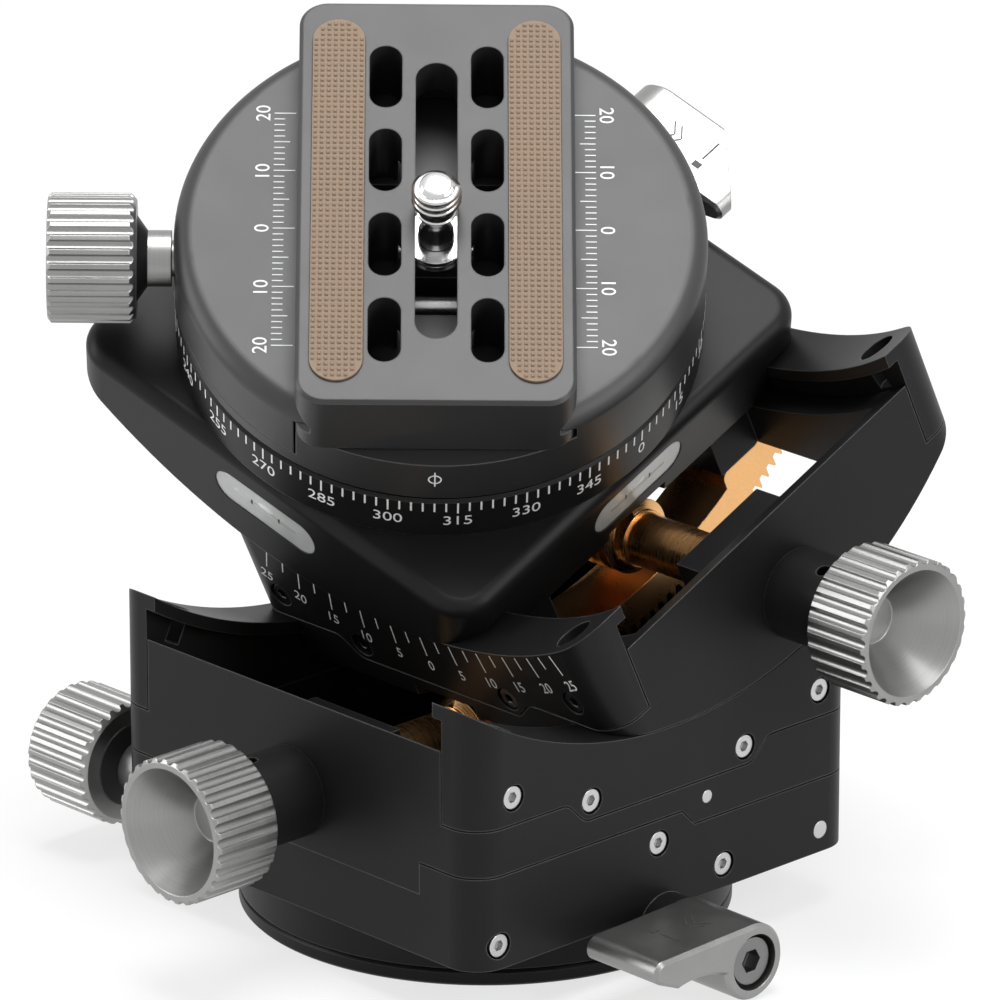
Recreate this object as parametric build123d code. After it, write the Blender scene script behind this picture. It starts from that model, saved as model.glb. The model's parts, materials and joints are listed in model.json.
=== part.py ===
from build123d import *
from dataclasses import dataclass
from math import cos, pi, radians, sin, sqrt, tan
import os

# Geared tripod head. Millimetres, +Z up, origin on the underside of the panning foot, on the pan axis.
# From the bottom: panning foot, lower block, cradle, top stage, panning clamp, quick-release plate.
# Each curved slide tilts about a level axis above it, and a worm on a toothed sector drives it.

# ---- settings in which the head is shown ------------------------------------------------------
LOWER_TILT = 25.0          # cradle on the lower block, degrees about +X
UPPER_TILT = 25.0          # top stage on the cradle, degrees about the cradle's +Y
CLAMP_PAN = 41.1           # clamp on the top stage, degrees

# ---- block, cradle and their two curved slides ------------------------------------------------
BLOCK_HALF = 36.2          # half of the square footprint
BLOCK_CORNER = 5.0         # vertical corner radius
LOWER_AXIS = 100.0         # height of the lower tilt axis, head level
UPPER_AXIS = 118.4         # height of the upper tilt axis, head level
LOWER_ARC = 65.5           # radius of the concave arcs of the lower block
UPPER_ARC = 66.4           # radius of the concave arcs of the cradle
PLATE_THICK = 6.6          # arc plate
PLATE_TAB = 9.2            # arc's lowest point down to the plate's deep middle
PLATE_EDGE = 6.0           # arc's lowest point down to the plate's shallow ends
PLATE_TAB_HALF = 17.5      # half length of the deep middle
LIP_REACH = 1.8            # inward lip that holds the slide's rail
LIP_THICK = 1.8
RAIL_THICK = 1.4           # rail flange under the lip
RAIL_WIDE = 5.4            # rail from its root inwards
SLIDE_GAP = 0.15           # between sliding curved faces
WALL_RISE = 4.4            # knob wall's top above the arc's lowest point
WALL_THICK = 3.2           # knob walls and the hanging end walls
WALL_GAP = 0.25            # beside the knob wall, to the arc plates
SEAM_TALL = 0.25           # shadow line between stacked pieces
SEAM_DEEP = 0.4
LEDGE_RISE = 8.6           # ledge inside the cradle's side walls, above the arc's lowest point
WELL_X = 24.0              # half of the cradle's open well, along the upper worm
WELL_Y = 25.1              # half of the well, across the upper worm
WELL_CORNER = 3.0
BLOCK_START = 17.2         # blocks in the well that carry the sector, from here outwards
POCKET_DEPTH = 5.0         # plain holes in the concave arcs
POCKET_RADIUS = 2.7
POCKET_PLACE = 30.5

# ---- worm drives ------------------------------------------------------------------------------
MODULE = 0.6               # tooth size of sectors and worms
SWING_GAP = 0.25           # round everything that swings over the knob walls and the worm
LOWER_TEETH = 234          # teeth of the full circle that the lower sector is part of
UPPER_TEETH = 237
WORM_PITCH_RADIUS = 4.9
WORM_LENGTH = 13.2         # threaded length
TOOTH_FILL = 0.36          # share of the pitch that a tooth fills at its pitch line
THREAD_FILL = 0.32         # share of the pitch that the worm thread fills
SECTOR_WIDE = 10.0         # face width of the sectors
SECTOR_RING = 5.7          # sector thickness, tooth tip to inner edge
SECTOR_ANGLE = 30.5        # half angle of the toothed arc
SECTOR_HALF = BLOCK_HALF - WALL_THICK - 0.2    # half of the sector's length, inside the end walls
SHANK_RADIUS = 3.8         # worm shank in the collar
JOURNAL_RADIUS = 2.6       # worm's far bearing
JOURNAL_LENGTH = 4.0
BEARING_THICK = 4.0
BEAM_THICK = 4.0           # beam that carries the lower worm's far bearing over the spindle
FIT = 0.05                 # radial running clearance of shafts

# ---- big knobs and their collars --------------------------------------------------------------
COLLAR_RADIUS = 6.5
COLLAR_LENGTH = 10.8
COLLAR_SPIGOT = 5.4        # part of the collar inside the wall
COLLAR_HOLE = 1.0
KNOB_RADIUS = 10.2
KNOB_LENGTH = 11.4
KNOB_FLUTES = 30
FLUTE_DEPTH = 0.55
DISH_RADIUS = 8.9
DISH_FLOOR = 3.4
DISH_DEPTH = 7.6
HUB_SPIGOT = 2.6           # worm shank's reduced end inside the knob
HUB_DEPTH = 3.2
BOSS_HALF = 8.5            # bearing boss inside the knob wall
BOSS_THICK = 9.0
BOSS_TALL = 8.0            # boss above the worm's axis, where nothing swings over it

# ---- foot and lower block ---------------------------------------------------------------------
FOOT_RADIUS = 34.4
FLANGE_THICK = 2.2
TURN_GAP = 0.3             # between the foot's flange and what turns on it
SPINDLE_RADIUS = 15.0
SPINDLE_TOP = 13.6
SOCKET_RADIUS = 3.97       # 3/8-16 tapping size
INSERT_RADIUS = 6.5
INSERT_LENGTH = 10.0
GROOVE_DEPTH = 1.4         # V groove round each spindle, where its lock presses
SKIRT_TOP = 8.2            # underside of the square housing
HOUSING_FLOOR = 13.5
HOUSING_WALL = 5.2
WASHER_RADIUS = 17.5
WASHER_THICK = 1.6
WASHER_HEADS = 0.6         # heads of its screws
SEAM_HIGH = 21.75          # top of the housing at its -Y end
SEAM_LOW = 19.3            # and at its +Y end
SEAM_STEP = 3.7            # Y of the step between them
NOTCH_LEFT = -2.0          # notch in the front of the housing
NOTCH_RIGHT = 25.2
NOTCH_DROP = 4.65
NOTCH_DEEP = 3.0
LOCK_Y = -0.8              # pan lock
LOCK_Z = 5.6
DRAG_Y = -26.5             # pan drag screw
DRAG_Z = 13.6
DRAG_RING = 3.6            # wall of the split drag ring
EAR_HALF = 6.0             # ears of the drag ring
EAR_TOP = 17.2
EAR_END = BLOCK_HALF - HOUSING_WALL - 0.6
RECESS = 4.0               # how deep the ring lies in the housing's floor
DRAG_NECK = 6.6
DRAG_REACH = 12.0
PAD_ROOM = 2.4             # bore for the brass lock pad
PIN_LENGTH = 4.0           # flush dowels in the +X face: Y, Z and radius
LOW_PIN = (29.5, 11.5, 1.25)
HIGH_PIN = (7.3, 22.5, 0.9)
HOUSING_SCREWS = ((-1.8, 18.1), (10.7, 11.6), (-31.7, 11.6))   # Y and Z of the housing's screws

# ---- levers -----------------------------------------------------------------------------------
LEVER_BOSS = 5.4
LEVER_TIP = 1.7
LEVER_REACH = 17.0
LEVER_RISE = 3.2
LEVER_WIDE = 13.8          # lower lever, along its axis
TOP_LEVER_WIDE = 11.6
TOP_LEVER_CUT = 9.2        # slanting cut across the tip of the top lever
LEVER_HOLLOW = 13.0        # radius of the finger hollow under the arm
LEVER_HOLLOW_TOP = 0.6     # the hollow's top above the boss's axis
LEVER_EDGE = 0.5
HEAD_RADIUS = 3.35
HEAD_LENGTH = 4.0
HEAD_HOLE = 4.0
HEAD_SUNK = 0.7
HEX_RADIUS = 1.75
BOLT_RADIUS = 1.5
PAD_LENGTH = 2.6
LUG_RADIUS = 5.0
LUG_END = BLOCK_HALF + 3.4
TOP_LOCK_X = 0.0
TOP_LOCK_Z = 68.3
TOP_LUG_RADIUS = 4.6

# ---- top stage --------------------------------------------------------------------------------
TABLE_HALF = BLOCK_HALF + 0.3
TOP_LUG_END = TABLE_HALF + 1.7
TABLE_CORNER = 5.8
TABLE_TOP = 69.2
TABLE_ROUND = 2.2
HUB_LOW = 60.0             # roof of the hollow under the table
HUB_RADIUS = 30.0          # raised middle inside the scale ring
RING_RADIUS = 36.7
RING_TOP = 77.1
VIAL_LENGTH = 18.3
VIAL_HEIGHT = 5.8
VIAL_DEPTH = 3.2
VIAL_FRONT_Z = 61.5
VIAL_RIGHT_Z = 63.3
STAGE_SPINDLE = 11.0
SPINDLE_LOW = 62.0

# ---- clamp ------------------------------------------------------------------------------------
CLAMP_RADIUS = 36.7
CLAMP_LOW = RING_TOP + 0.15
CLAMP_TOP = CLAMP_LOW + 12.75
CLAMP_ROUND = 2.6
CHANNEL_FLOOR = 85.4
TRAY_TOP = 80.0            # lower disc that runs on under the jaw
JAW_LINE = -19.6           # U of the split between jaw and body
JAW_TRAVEL = 2.5
JAW_GAP = 0.3
SCREW_Z = 83.0
SCREW_RADIUS = 2.5
SCREW_PITCH = 0.8
ROD_RADIUS = 1.5
ROD_PLACE = 8.0
ROD_START = 28.0
ROD_REACH = 22.0
ROD_GROOVE = (12.0, 3.2, 2.4)   # groove over each rod: half length, half width, depth under its axis
SCREW_REACH = 14.0
NECK_RADIUS = 3.9
NECK_END = 40.3
CONE_END = 41.8
SMALL_KNOB_RADIUS = 9.0
SMALL_KNOB_LENGTH = 12.2
SMALL_KNOB_FLUTES = 28
CONE_RADIUS = 6.0

# ---- quick-release plate ----------------------------------------------------------------------
PLATE_HALF_WIDE = 19.0
PLATE_HALF_LONG = 34.5
PLATE_TOP = 96.15
PLATE_LOW = 85.65
PLATE_U = -0.7
PLATE_V = 0.5
PLATE_CORNER = 4.0
VEE_TOP = 91.6             # dovetail groove in the plate's sides
VEE_LOW = 87.4
VEE_DEPTH = 2.1
DOVE_GAP = 0.2
SLOT_WIDE = 4.5
SLOT_LONG = 10.8
SLOT_U = 7.0
SLOT_PITCH = 14.5
TRACK_WIDE = 5.75          # camera screw's slot
TRACK_HALF = 23.7
STRIP_WIDE = 7.2
STRIP_LONG = 62.0
STRIP_U = 13.5
STRIP_DEEP = 0.8
STRIP_PROUD = 0.35
STUD_RADIUS = 3.175        # 1/4-20 thread
STUD_PROUD = 6.0
STUD_NECK = 2.5
STUD_V = -1.5
STUD_HEAD = 4.6
STUD_HEAD_THICK = 1.4
RING_THICK = 0.8
STEP_WIDE = 10.4           # wider step of the slot, under the plate, for the screw's head
STEP_DEEP = 4.6
CAP_RADIUS = 1.6           # small socket screws
CAP_HOLE = 1.9
CAP_LENGTH = 2.4
CAP_SUNK = 0.25


@dataclass(frozen=True)
class Slide:
    """One curved slide with its worm drive, level, with its tilt axis along X."""

    axis: float
    arc: float
    teeth: int
    shown_tilt: float

    @property
    def low(self):
        """Height of the arc's lowest point."""
        return self.axis - self.arc

    @property
    def pitch_radius(self):
        """Pitch radius of the toothed sector."""
        return MODULE * self.teeth / 2

    @property
    def worm(self):
        """Height of the worm's axis."""
        return self.axis - self.pitch_radius - WORM_PITCH_RADIUS

    @property
    def wall_top(self):
        """Height of the knob wall."""
        return self.low + WALL_RISE

    @property
    def tip(self):
        """Radius of the sector's tooth tips, and of all that hangs as low as they do."""
        return self.pitch_radius + MODULE

    @property
    def swing(self):
        """Radius that stays free over the fixed walls."""
        return self.tip + SWING_GAP

    @property
    def crest(self):
        """Radius that stays free of the worm's thread."""
        return self.pitch_radius - MODULE - SWING_GAP

    @property
    def pad(self):
        """Height of the sector's mounting pads."""
        return self.axis - sqrt((self.arc - SLIDE_GAP) ** 2 - WELL_Y**2)


LOWER = Slide(LOWER_AXIS, LOWER_ARC, LOWER_TEETH, LOWER_TILT)
UPPER = Slide(UPPER_AXIS, UPPER_ARC, UPPER_TEETH, UPPER_TILT)
TALL = 200.0               # longer than anything that a cut has to pass
PLATE_IN = BLOCK_HALF - PLATE_THICK
RAIL_OUT = PLATE_IN - SLIDE_GAP - 0.05
PITCH = pi * MODULE

# Places: the cradle turns on the lower axis, the top stage on the upper one, the clamp on the stage.
QUARTER = Rot(Z=90)
CRADLE = Pos(0, 0, LOWER_AXIS) * Rot(X=LOWER_TILT) * Pos(0, 0, -LOWER_AXIS)
STAGE = CRADLE * Pos(0, 0, UPPER_AXIS) * Rot(Y=UPPER_TILT) * Pos(0, 0, -UPPER_AXIS)
CLAMP = STAGE * Rot(Z=CLAMP_PAN)


def column(half, corner, low, high):
    """Square column with rounded corners."""
    return Pos(0, 0, low) * extrude(RectangleRounded(2 * half, 2 * half, corner), high - low)


def disc(radius, low, high):
    """Upright cylinder between two heights."""
    return Pos(0, 0, low) * Cylinder(radius, high - low, align=(Align.CENTER, Align.CENTER, Align.MIN))


def together(pieces):
    """One group of loose solids."""
    group = None
    for piece in pieces:
        group = piece if group is None else group + piece
    return group


def slab(x_low, x_high, y_low, y_high, z_low, z_high):
    """Box between six planes."""
    middle = ((x_low + x_high) / 2, (y_low + y_high) / 2, (z_low + z_high) / 2)
    return Pos(*middle) * Box(x_high - x_low, y_high - y_low, z_high - z_low)


def along_x(sketch, x_low, x_high):
    """Extrude a sketch of the Y-Z plane along X."""
    return extrude(Plane.YZ.offset(x_low) * sketch, x_high - x_low)


def drum(radius, x_low, x_high, height, y=0.0):
    """Cylinder along X."""
    return along_x(Pos(y, height) * Circle(radius), x_low, x_high)


def band(slide, inner, outer, x_low, x_high):
    """Ring about a slide's tilt axis, its lower half only."""
    ring = Circle(outer) - Circle(inner) - Pos(0, TALL / 2) * Rectangle(2 * TALL, TALL)
    return along_x(Pos(0, slide.axis) * ring, x_low, x_high)


def outward(slide, reach):
    """Place on the worm's axis: +Z out of the knob wall, +X up towards the sector, reach from the middle."""
    return Location(Plane(origin=(0, -reach, slide.worm), x_dir=(0, 0, 1), z_dir=(0, -1, 0)))


def plate_outline(slide, drop=0.0):
    """Outline under an arc plate: shallow ends, deep middle, S curves between. Open at the top."""
    edge = slide.low - PLATE_EDGE - drop
    tab = slide.low - PLATE_TAB - drop
    step = PLATE_EDGE - PLATE_TAB
    inner = PLATE_TAB_HALF + step / 2
    outer = PLATE_TAB_HALF - step / 2
    high = slide.axis
    wide = TALL / 2
    outline = Polyline(
        (-wide, high), (-wide, edge), (-outer, edge), (-inner, tab),
        (inner, tab), (outer, edge), (wide, edge), (wide, high), close=True,
    )
    face = make_face(outline)
    bends = [v for v in face.vertices() if abs(v.X) < outer + 1 and v.Y < edge + 1]
    return fillet(bends, 2.4)


def screw_places(slide):
    """Places of an arc plate's screws, in the Y-Z plane."""
    for side in (-1, 1):
        yield side * 29.2, slide.low - 2.3
        yield side * 14.6, slide.low - 6.7


def cap_screw(y, z, x_face):
    """Small socket screw that looks out of a +X face, sunk in its hole."""
    top = x_face - CAP_SUNK
    head = drum(CAP_RADIUS, top - CAP_LENGTH, top, z, y)
    socket = along_x(Pos(y, z) * RegularPolygon(CAP_RADIUS * 0.5, 6), top - 1.0, top + 1)
    return head - socket


def cap_hole(y, z, x_face):
    """Hole for a small socket screw."""
    return drum(CAP_HOLE, x_face - CAP_SUNK - CAP_LENGTH, x_face + 1, z, y)


def arc_plate(slide):
    """Plate on the +X side, with its concave arc, lip, screw holes and blind pockets."""
    blank = column(BLOCK_HALF, BLOCK_CORNER, slide.low - PLATE_TAB - 1, slide.axis)
    blank &= along_x(plate_outline(slide), PLATE_IN, BLOCK_HALF)
    lip = band(slide, slide.arc, slide.arc + LIP_THICK, PLATE_IN - LIP_REACH, PLATE_IN)
    lip &= slab(0, BLOCK_HALF, -BLOCK_HALF, BLOCK_HALF, 0, slide.axis)
    plate = blank - drum(slide.arc, 0, TALL, slide.axis) + lip
    for y, z in screw_places(slide):
        plate -= cap_hole(y, z, BLOCK_HALF)
    middle = (PLATE_IN - LIP_REACH + BLOCK_HALF) / 2
    for side in (-1, 1):
        angle = side * POCKET_PLACE / slide.arc * 180 / pi
        mouth = Pos(middle, 0, slide.axis) * Rot(X=angle) * Pos(0, 0, -slide.arc)
        plate -= mouth * Cylinder(POCKET_RADIUS, 2 * POCKET_DEPTH)
    return plate


def plate_screws(slide):
    """The four screws of a +X arc plate."""
    return together(cap_screw(y, z, BLOCK_HALF) for y, z in screw_places(slide))


def rails(slide):
    """Two T rails under a moving body, and its convex faces; the body is cut by rail_room first."""
    radius = slide.arc + LIP_THICK + SLIDE_GAP
    neck_out = PLATE_IN - LIP_REACH - SLIDE_GAP
    root = RAIL_OUT - RAIL_WIDE
    convex = slide.arc - SLIDE_GAP
    rail = band(slide, convex - 0.5, radius + RAIL_THICK, root, neck_out)
    rail += band(slide, radius, radius + RAIL_THICK, root, RAIL_OUT)
    rail &= slab(0, BLOCK_HALF, -BLOCK_HALF, BLOCK_HALF, 0, slide.axis)
    return rail + mirror(rail, about=Plane.YZ)


def end_walls(slide, half):
    """Hanging walls at both ends of a moving body, down to the radius of the tooth tips."""
    reach = PLATE_IN - LIP_REACH - 2 * SLIDE_GAP
    walls = slab(-reach, reach, -half, half, slide.low - TALL / 8, slide.axis)
    walls -= slab(-TALL, TALL, WALL_THICK - half, half - WALL_THICK, 0, TALL)
    walls &= band(slide, slide.arc - 2, slide.tip, -reach, reach)
    notch_half = WORM_PITCH_RADIUS + MODULE + 0.4
    return walls - band(slide, slide.crest, TALL, -notch_half, notch_half)


def mount_blocks(slide, half, high):
    """Blocks over the sector's mounting pads."""
    width = SECTOR_WIDE / 2
    blocks = slab(-width, width, -half, half, slide.pad, high)
    return blocks - slab(-TALL, TALL, -BLOCK_START, BLOCK_START, 0, TALL)


def sector_room(slide, extra=0.0):
    """Space that a slide's toothed sector fills or, with extra, needs as it moves."""
    half = SECTOR_WIDE / 2 + extra
    room = band(slide, slide.tip - SECTOR_RING, TALL, -half, half)
    return room & slab(-half, half, -SECTOR_HALF, SECTOR_HALF, 0, TALL)


def gear_sector(slide):
    """Toothed sector, in mesh with its worm at the tilt that is shown."""
    tip = slide.tip
    root = slide.pitch_radius - 1.25 * MODULE
    inner = tip - SECTOR_RING
    step = 360 / slide.teeth
    half_pitch = step * TOOTH_FILL / 2
    flank = MODULE * tan(radians(20)) / slide.pitch_radius * 180 / pi
    half_tip = half_pitch - flank
    half_root = half_pitch + 1.25 * flank

    def point(radius, angle):
        """Point below the tilt axis, angle towards +Y."""
        return radius * sin(radians(angle)), slide.axis - radius * cos(radians(angle))

    first = -int((SECTOR_ANGLE - slide.shown_tilt) / step) - int(2 * slide.shown_tilt / step)
    last = int((SECTOR_ANGLE + slide.shown_tilt) / step)
    teeth = []
    for number in range(first, last):
        middle = -slide.shown_tilt + (number + 0.5) * step
        if abs(middle) > SECTOR_ANGLE:
            continue
        teeth += [
            point(root, middle - half_root),
            point(tip, middle - half_tip),
            point(tip, middle + half_tip),
            point(root, middle + half_root),
        ]
    end = SECTOR_ANGLE + 1.2
    edge = Polyline(point(inner, -end), point(root, -end), *teeth, point(root, end), point(inner, end))
    back = ThreePointArc(point(inner, end), point(inner, 0), point(inner, -end))
    blank = make_face(Wire([*edge.edges(), back.edge()]))
    pads = Pos(0, slide.pad - TALL / 4) * Rectangle(2 * WELL_Y, TALL / 2)
    pads -= Pos(0, slide.pad - TALL / 4) * Rectangle(2 * BLOCK_START, TALL)
    pads &= Pos(0, slide.axis) * Circle((inner + root) / 2)
    corners = [v for v in pads.vertices() if abs(v.X) < BLOCK_START + 0.1 and v.Y > slide.pad - 0.1]
    pads = fillet(corners, 1.2)
    sector = along_x(blank + pads, -SECTOR_WIDE / 2, SECTOR_WIDE / 2)
    return sector & slab(-TALL, TALL, -SECTOR_HALF, SECTOR_HALF, 0, TALL)


def worm():
    """Worm with its shank and far journal, along +Z, thread centred on the origin, crest on +X there."""
    turns_half = WORM_LENGTH / 2
    root = WORM_PITCH_RADIUS - 1.25 * MODULE
    crest = WORM_PITCH_RADIUS + MODULE
    core = disc(root, -turns_half, turns_half)
    count = int(WORM_LENGTH / PITCH) - 1
    run = count * PITCH
    start = -run / 2
    spiral = Helix(PITCH, run, WORM_PITCH_RADIUS, center=(0, 0, start))
    if count % 2:
        spiral = Rot(Z=180) * spiral
    flank = tan(radians(20))
    half = THREAD_FILL * PITCH / 2
    sunk = root - 0.25 - WORM_PITCH_RADIUS
    tall = crest - WORM_PITCH_RADIUS
    section = make_face(Polyline(
        (sunk, -half + flank * sunk), (tall, -half + flank * tall),
        (tall, half - flank * tall), (sunk, half - flank * sunk), close=True,
    ))
    tangent = spiral % 0
    begin = spiral @ 0
    spoke = Vector(begin.X, begin.Y, 0).normalized()
    place = Plane(origin=begin, x_dir=spoke, z_dir=tangent)
    thread = sweep(place * section, path=spiral, is_frenet=True)
    return core + thread


def worm_shaft(slide):
    """Worm, shank out to the knob and journal at the far end, along +Z from the block's middle."""
    half = WORM_LENGTH / 2
    shank_end = BLOCK_HALF + COLLAR_LENGTH + 0.1
    shaft = worm()
    shaft += disc(SHANK_RADIUS, half, shank_end)
    shaft += disc(HUB_SPIGOT, shank_end, shank_end + HUB_DEPTH)
    shaft += disc(JOURNAL_RADIUS, -half - JOURNAL_LENGTH, -half)
    return outward(slide, 0) * shaft


def bearing_collar(slide):
    """Collar outside the knob wall, its spigot through the wall, with a threaded cross hole."""
    collar = disc(COLLAR_RADIUS, 0, COLLAR_LENGTH)
    collar = chamfer(collar.edges().group_by(Axis.Z)[-1], 0.5)
    collar += disc(COLLAR_SPIGOT, -WALL_THICK - BOSS_THICK, 0)
    collar -= disc(SHANK_RADIUS + FIT, -TALL / 2, TALL / 2)
    collar -= Pos(COLLAR_RADIUS, 0, COLLAR_LENGTH - 3.2) * Rot(Y=90) * Cylinder(COLLAR_HOLE, 4)
    return outward(slide, BLOCK_HALF) * collar


def fluted(radius, length, flutes, depth):
    """Knurled barrel along +Z with straight rounded flutes."""
    groove = 2 * pi * radius / flutes * 0.34
    outline = Circle(radius)
    for number in range(flutes):
        outline -= Rot(Z=360 * number / flutes) * Pos(radius + groove - depth) * Circle(groove)
    return extrude(outline, length)


def big_knob(slide):
    """Dished fluted knob at the end of a worm's shank."""
    base = COLLAR_LENGTH + 0.1
    profile = make_face(Polyline(
        (0, 0), (KNOB_RADIUS - 1.2, 0), (KNOB_RADIUS, 1.0), (KNOB_RADIUS, KNOB_LENGTH - 0.3),
        (KNOB_RADIUS - 0.5, KNOB_LENGTH), (DISH_RADIUS, KNOB_LENGTH),
        (DISH_FLOOR, KNOB_LENGTH - DISH_DEPTH), (0, KNOB_LENGTH - DISH_DEPTH), close=True,
    ))
    turned = revolve(Plane.XZ * profile, Axis.Z)
    knob = turned & fluted(KNOB_RADIUS, KNOB_LENGTH, KNOB_FLUTES, FLUTE_DEPTH)
    knob -= disc(HUB_SPIGOT, 0, HUB_DEPTH)
    return outward(slide, BLOCK_HALF + base) * knob


def small_knob():
    """Fluted barrel knob along +Z, its hub side at the origin."""
    profile = make_face(Polyline(
        (0, 0), (SMALL_KNOB_RADIUS - 0.9, 0), (SMALL_KNOB_RADIUS, 0.8),
        (SMALL_KNOB_RADIUS, SMALL_KNOB_LENGTH - 0.5), (SMALL_KNOB_RADIUS - 0.6, SMALL_KNOB_LENGTH),
        (0, SMALL_KNOB_LENGTH), close=True,
    ))
    turned = revolve(Plane.XZ * profile, Axis.Z)
    return turned & fluted(SMALL_KNOB_RADIUS, SMALL_KNOB_LENGTH, SMALL_KNOB_FLUTES, FLUTE_DEPTH)


def cone_collar():
    """Black cone behind a small knob, its wide end at the origin, narrowing along -Z."""
    height = CONE_END - NECK_END
    return Pos(0, 0, -height / 2) * Cone(NECK_RADIUS, CONE_RADIUS, height)


def lever(wide, corner_cut=0.0):
    """Lock lever, boss on the origin, arm along +X, flat side +Y, its outer face at Z 0, inner at wide."""
    tip = Pos(LEVER_REACH, LEVER_RISE) * Circle(LEVER_TIP)
    outline = make_hull([*Circle(LEVER_BOSS).edges(), *tip.edges()])
    middle = LEVER_REACH * 0.62
    outline -= Pos(middle, LEVER_HOLLOW_TOP - LEVER_HOLLOW) * Circle(LEVER_HOLLOW)
    outline += Circle(LEVER_BOSS)
    arm = extrude(outline, wide)
    arm = chamfer(arm.edges().group_by(Axis.Z)[0], LEVER_EDGE)
    arm = chamfer(arm.edges().group_by(Axis.Z)[-1], LEVER_EDGE)
    if corner_cut:
        end = LEVER_REACH + LEVER_TIP
        corner = make_face(Polyline(
            (end + 1, -1), (end + 1, corner_cut + 1), (end - corner_cut - 1, -1), close=True,
        ))
        arm -= Pos(0, TALL / 4) * extrude(Plane.XZ * corner, TALL / 2)
    return arm - disc(HEAD_HOLE, -1, HEAD_SUNK + HEAD_LENGTH) - disc(BOLT_RADIUS, 0, wide + 1)


def lever_bolt(wide, reach):
    """Socket-head bolt in a lever's boss, its head just inside the outer face, its shank along +Z."""
    head = disc(HEAD_RADIUS, HEAD_SUNK, HEAD_SUNK + HEAD_LENGTH)
    head -= Pos(0, 0, -1) * extrude(RegularPolygon(HEX_RADIUS, 6), HEAD_SUNK + 3.2)
    return head + disc(BOLT_RADIUS, HEAD_SUNK + HEAD_LENGTH, wide + reach)


def spindle_groove(radius, height):
    """V groove round a spindle."""
    tool = make_face(Polyline(
        (radius + 0.1, height - GROOVE_DEPTH), (radius + 0.1, height + GROOVE_DEPTH),
        (radius - GROOVE_DEPTH, height), close=True,
    ))
    return revolve(Plane.XZ * tool, Axis.Z)


def seam_below(drop=0.0):
    """Everything below the joint between housing and frame, which steps down towards +Y."""
    high = SEAM_HIGH - drop
    low = SEAM_LOW - drop
    half = (high - low) / 2
    side = make_face(Polyline(
        (-TALL, -TALL), (-TALL, high), (SEAM_STEP - half, high), (SEAM_STEP + half, low),
        (TALL, low), (TALL, -TALL), close=True,
    ))
    return along_x(side, -TALL, TALL)


def rim():
    """Thin outer skin of the square block, where shadow lines are cut."""
    outer = column(BLOCK_HALF + 1, BLOCK_CORNER + 1, 0, LOWER.axis)
    return outer - column(BLOCK_HALF - SEAM_DEEP, BLOCK_CORNER - SEAM_DEEP, -1, LOWER.axis + 1)


def notch():
    """Tab of the frame that stands in the front of the housing."""
    return slab(
        NOTCH_LEFT, NOTCH_RIGHT, -BLOCK_HALF, NOTCH_DEEP - BLOCK_HALF,
        SEAM_HIGH - NOTCH_DROP, SEAM_HIGH,
    )


def base_foot():
    """Flange with its spindle, lock groove and the pocket of the threaded insert."""
    foot = disc(FOOT_RADIUS, 0, FLANGE_THICK)
    foot = chamfer(foot.edges().filter_by(GeomType.CIRCLE), 0.35)
    foot += disc(SPINDLE_RADIUS, FLANGE_THICK, SPINDLE_TOP)
    foot -= spindle_groove(SPINDLE_RADIUS, LOCK_Z)
    foot -= disc(INSERT_RADIUS, -1, INSERT_LENGTH)
    return foot - disc(SOCKET_RADIUS, INSERT_LENGTH - 1, SPINDLE_TOP + 1)


def base_insert():
    """Steel insert with the tripod's thread."""
    return disc(INSERT_RADIUS, 0, INSERT_LENGTH) - disc(SOCKET_RADIUS, -1, INSERT_LENGTH + 1)


def washer_screws(radius_in):
    """Three screws of the retaining washer, or their holes."""
    ring = []
    for number in range(3):
        place = Rot(Z=30 + 120 * number) * Pos(SPINDLE_RADIUS * 0.72, 0)
        ring.append(place * disc(radius_in, SPINDLE_TOP, SPINDLE_TOP + WASHER_THICK + WASHER_HEADS))
    return ring


def retaining_washer():
    """Washer over the spindle that keeps the housing on the foot."""
    washer = disc(WASHER_RADIUS, SPINDLE_TOP, SPINDLE_TOP + WASHER_THICK)
    washer -= disc(SOCKET_RADIUS + 1, SPINDLE_TOP - 1, SPINDLE_TOP + WASHER_THICK + 1)
    for hole in washer_screws(CAP_RADIUS):
        washer -= hole
    return washer


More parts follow.
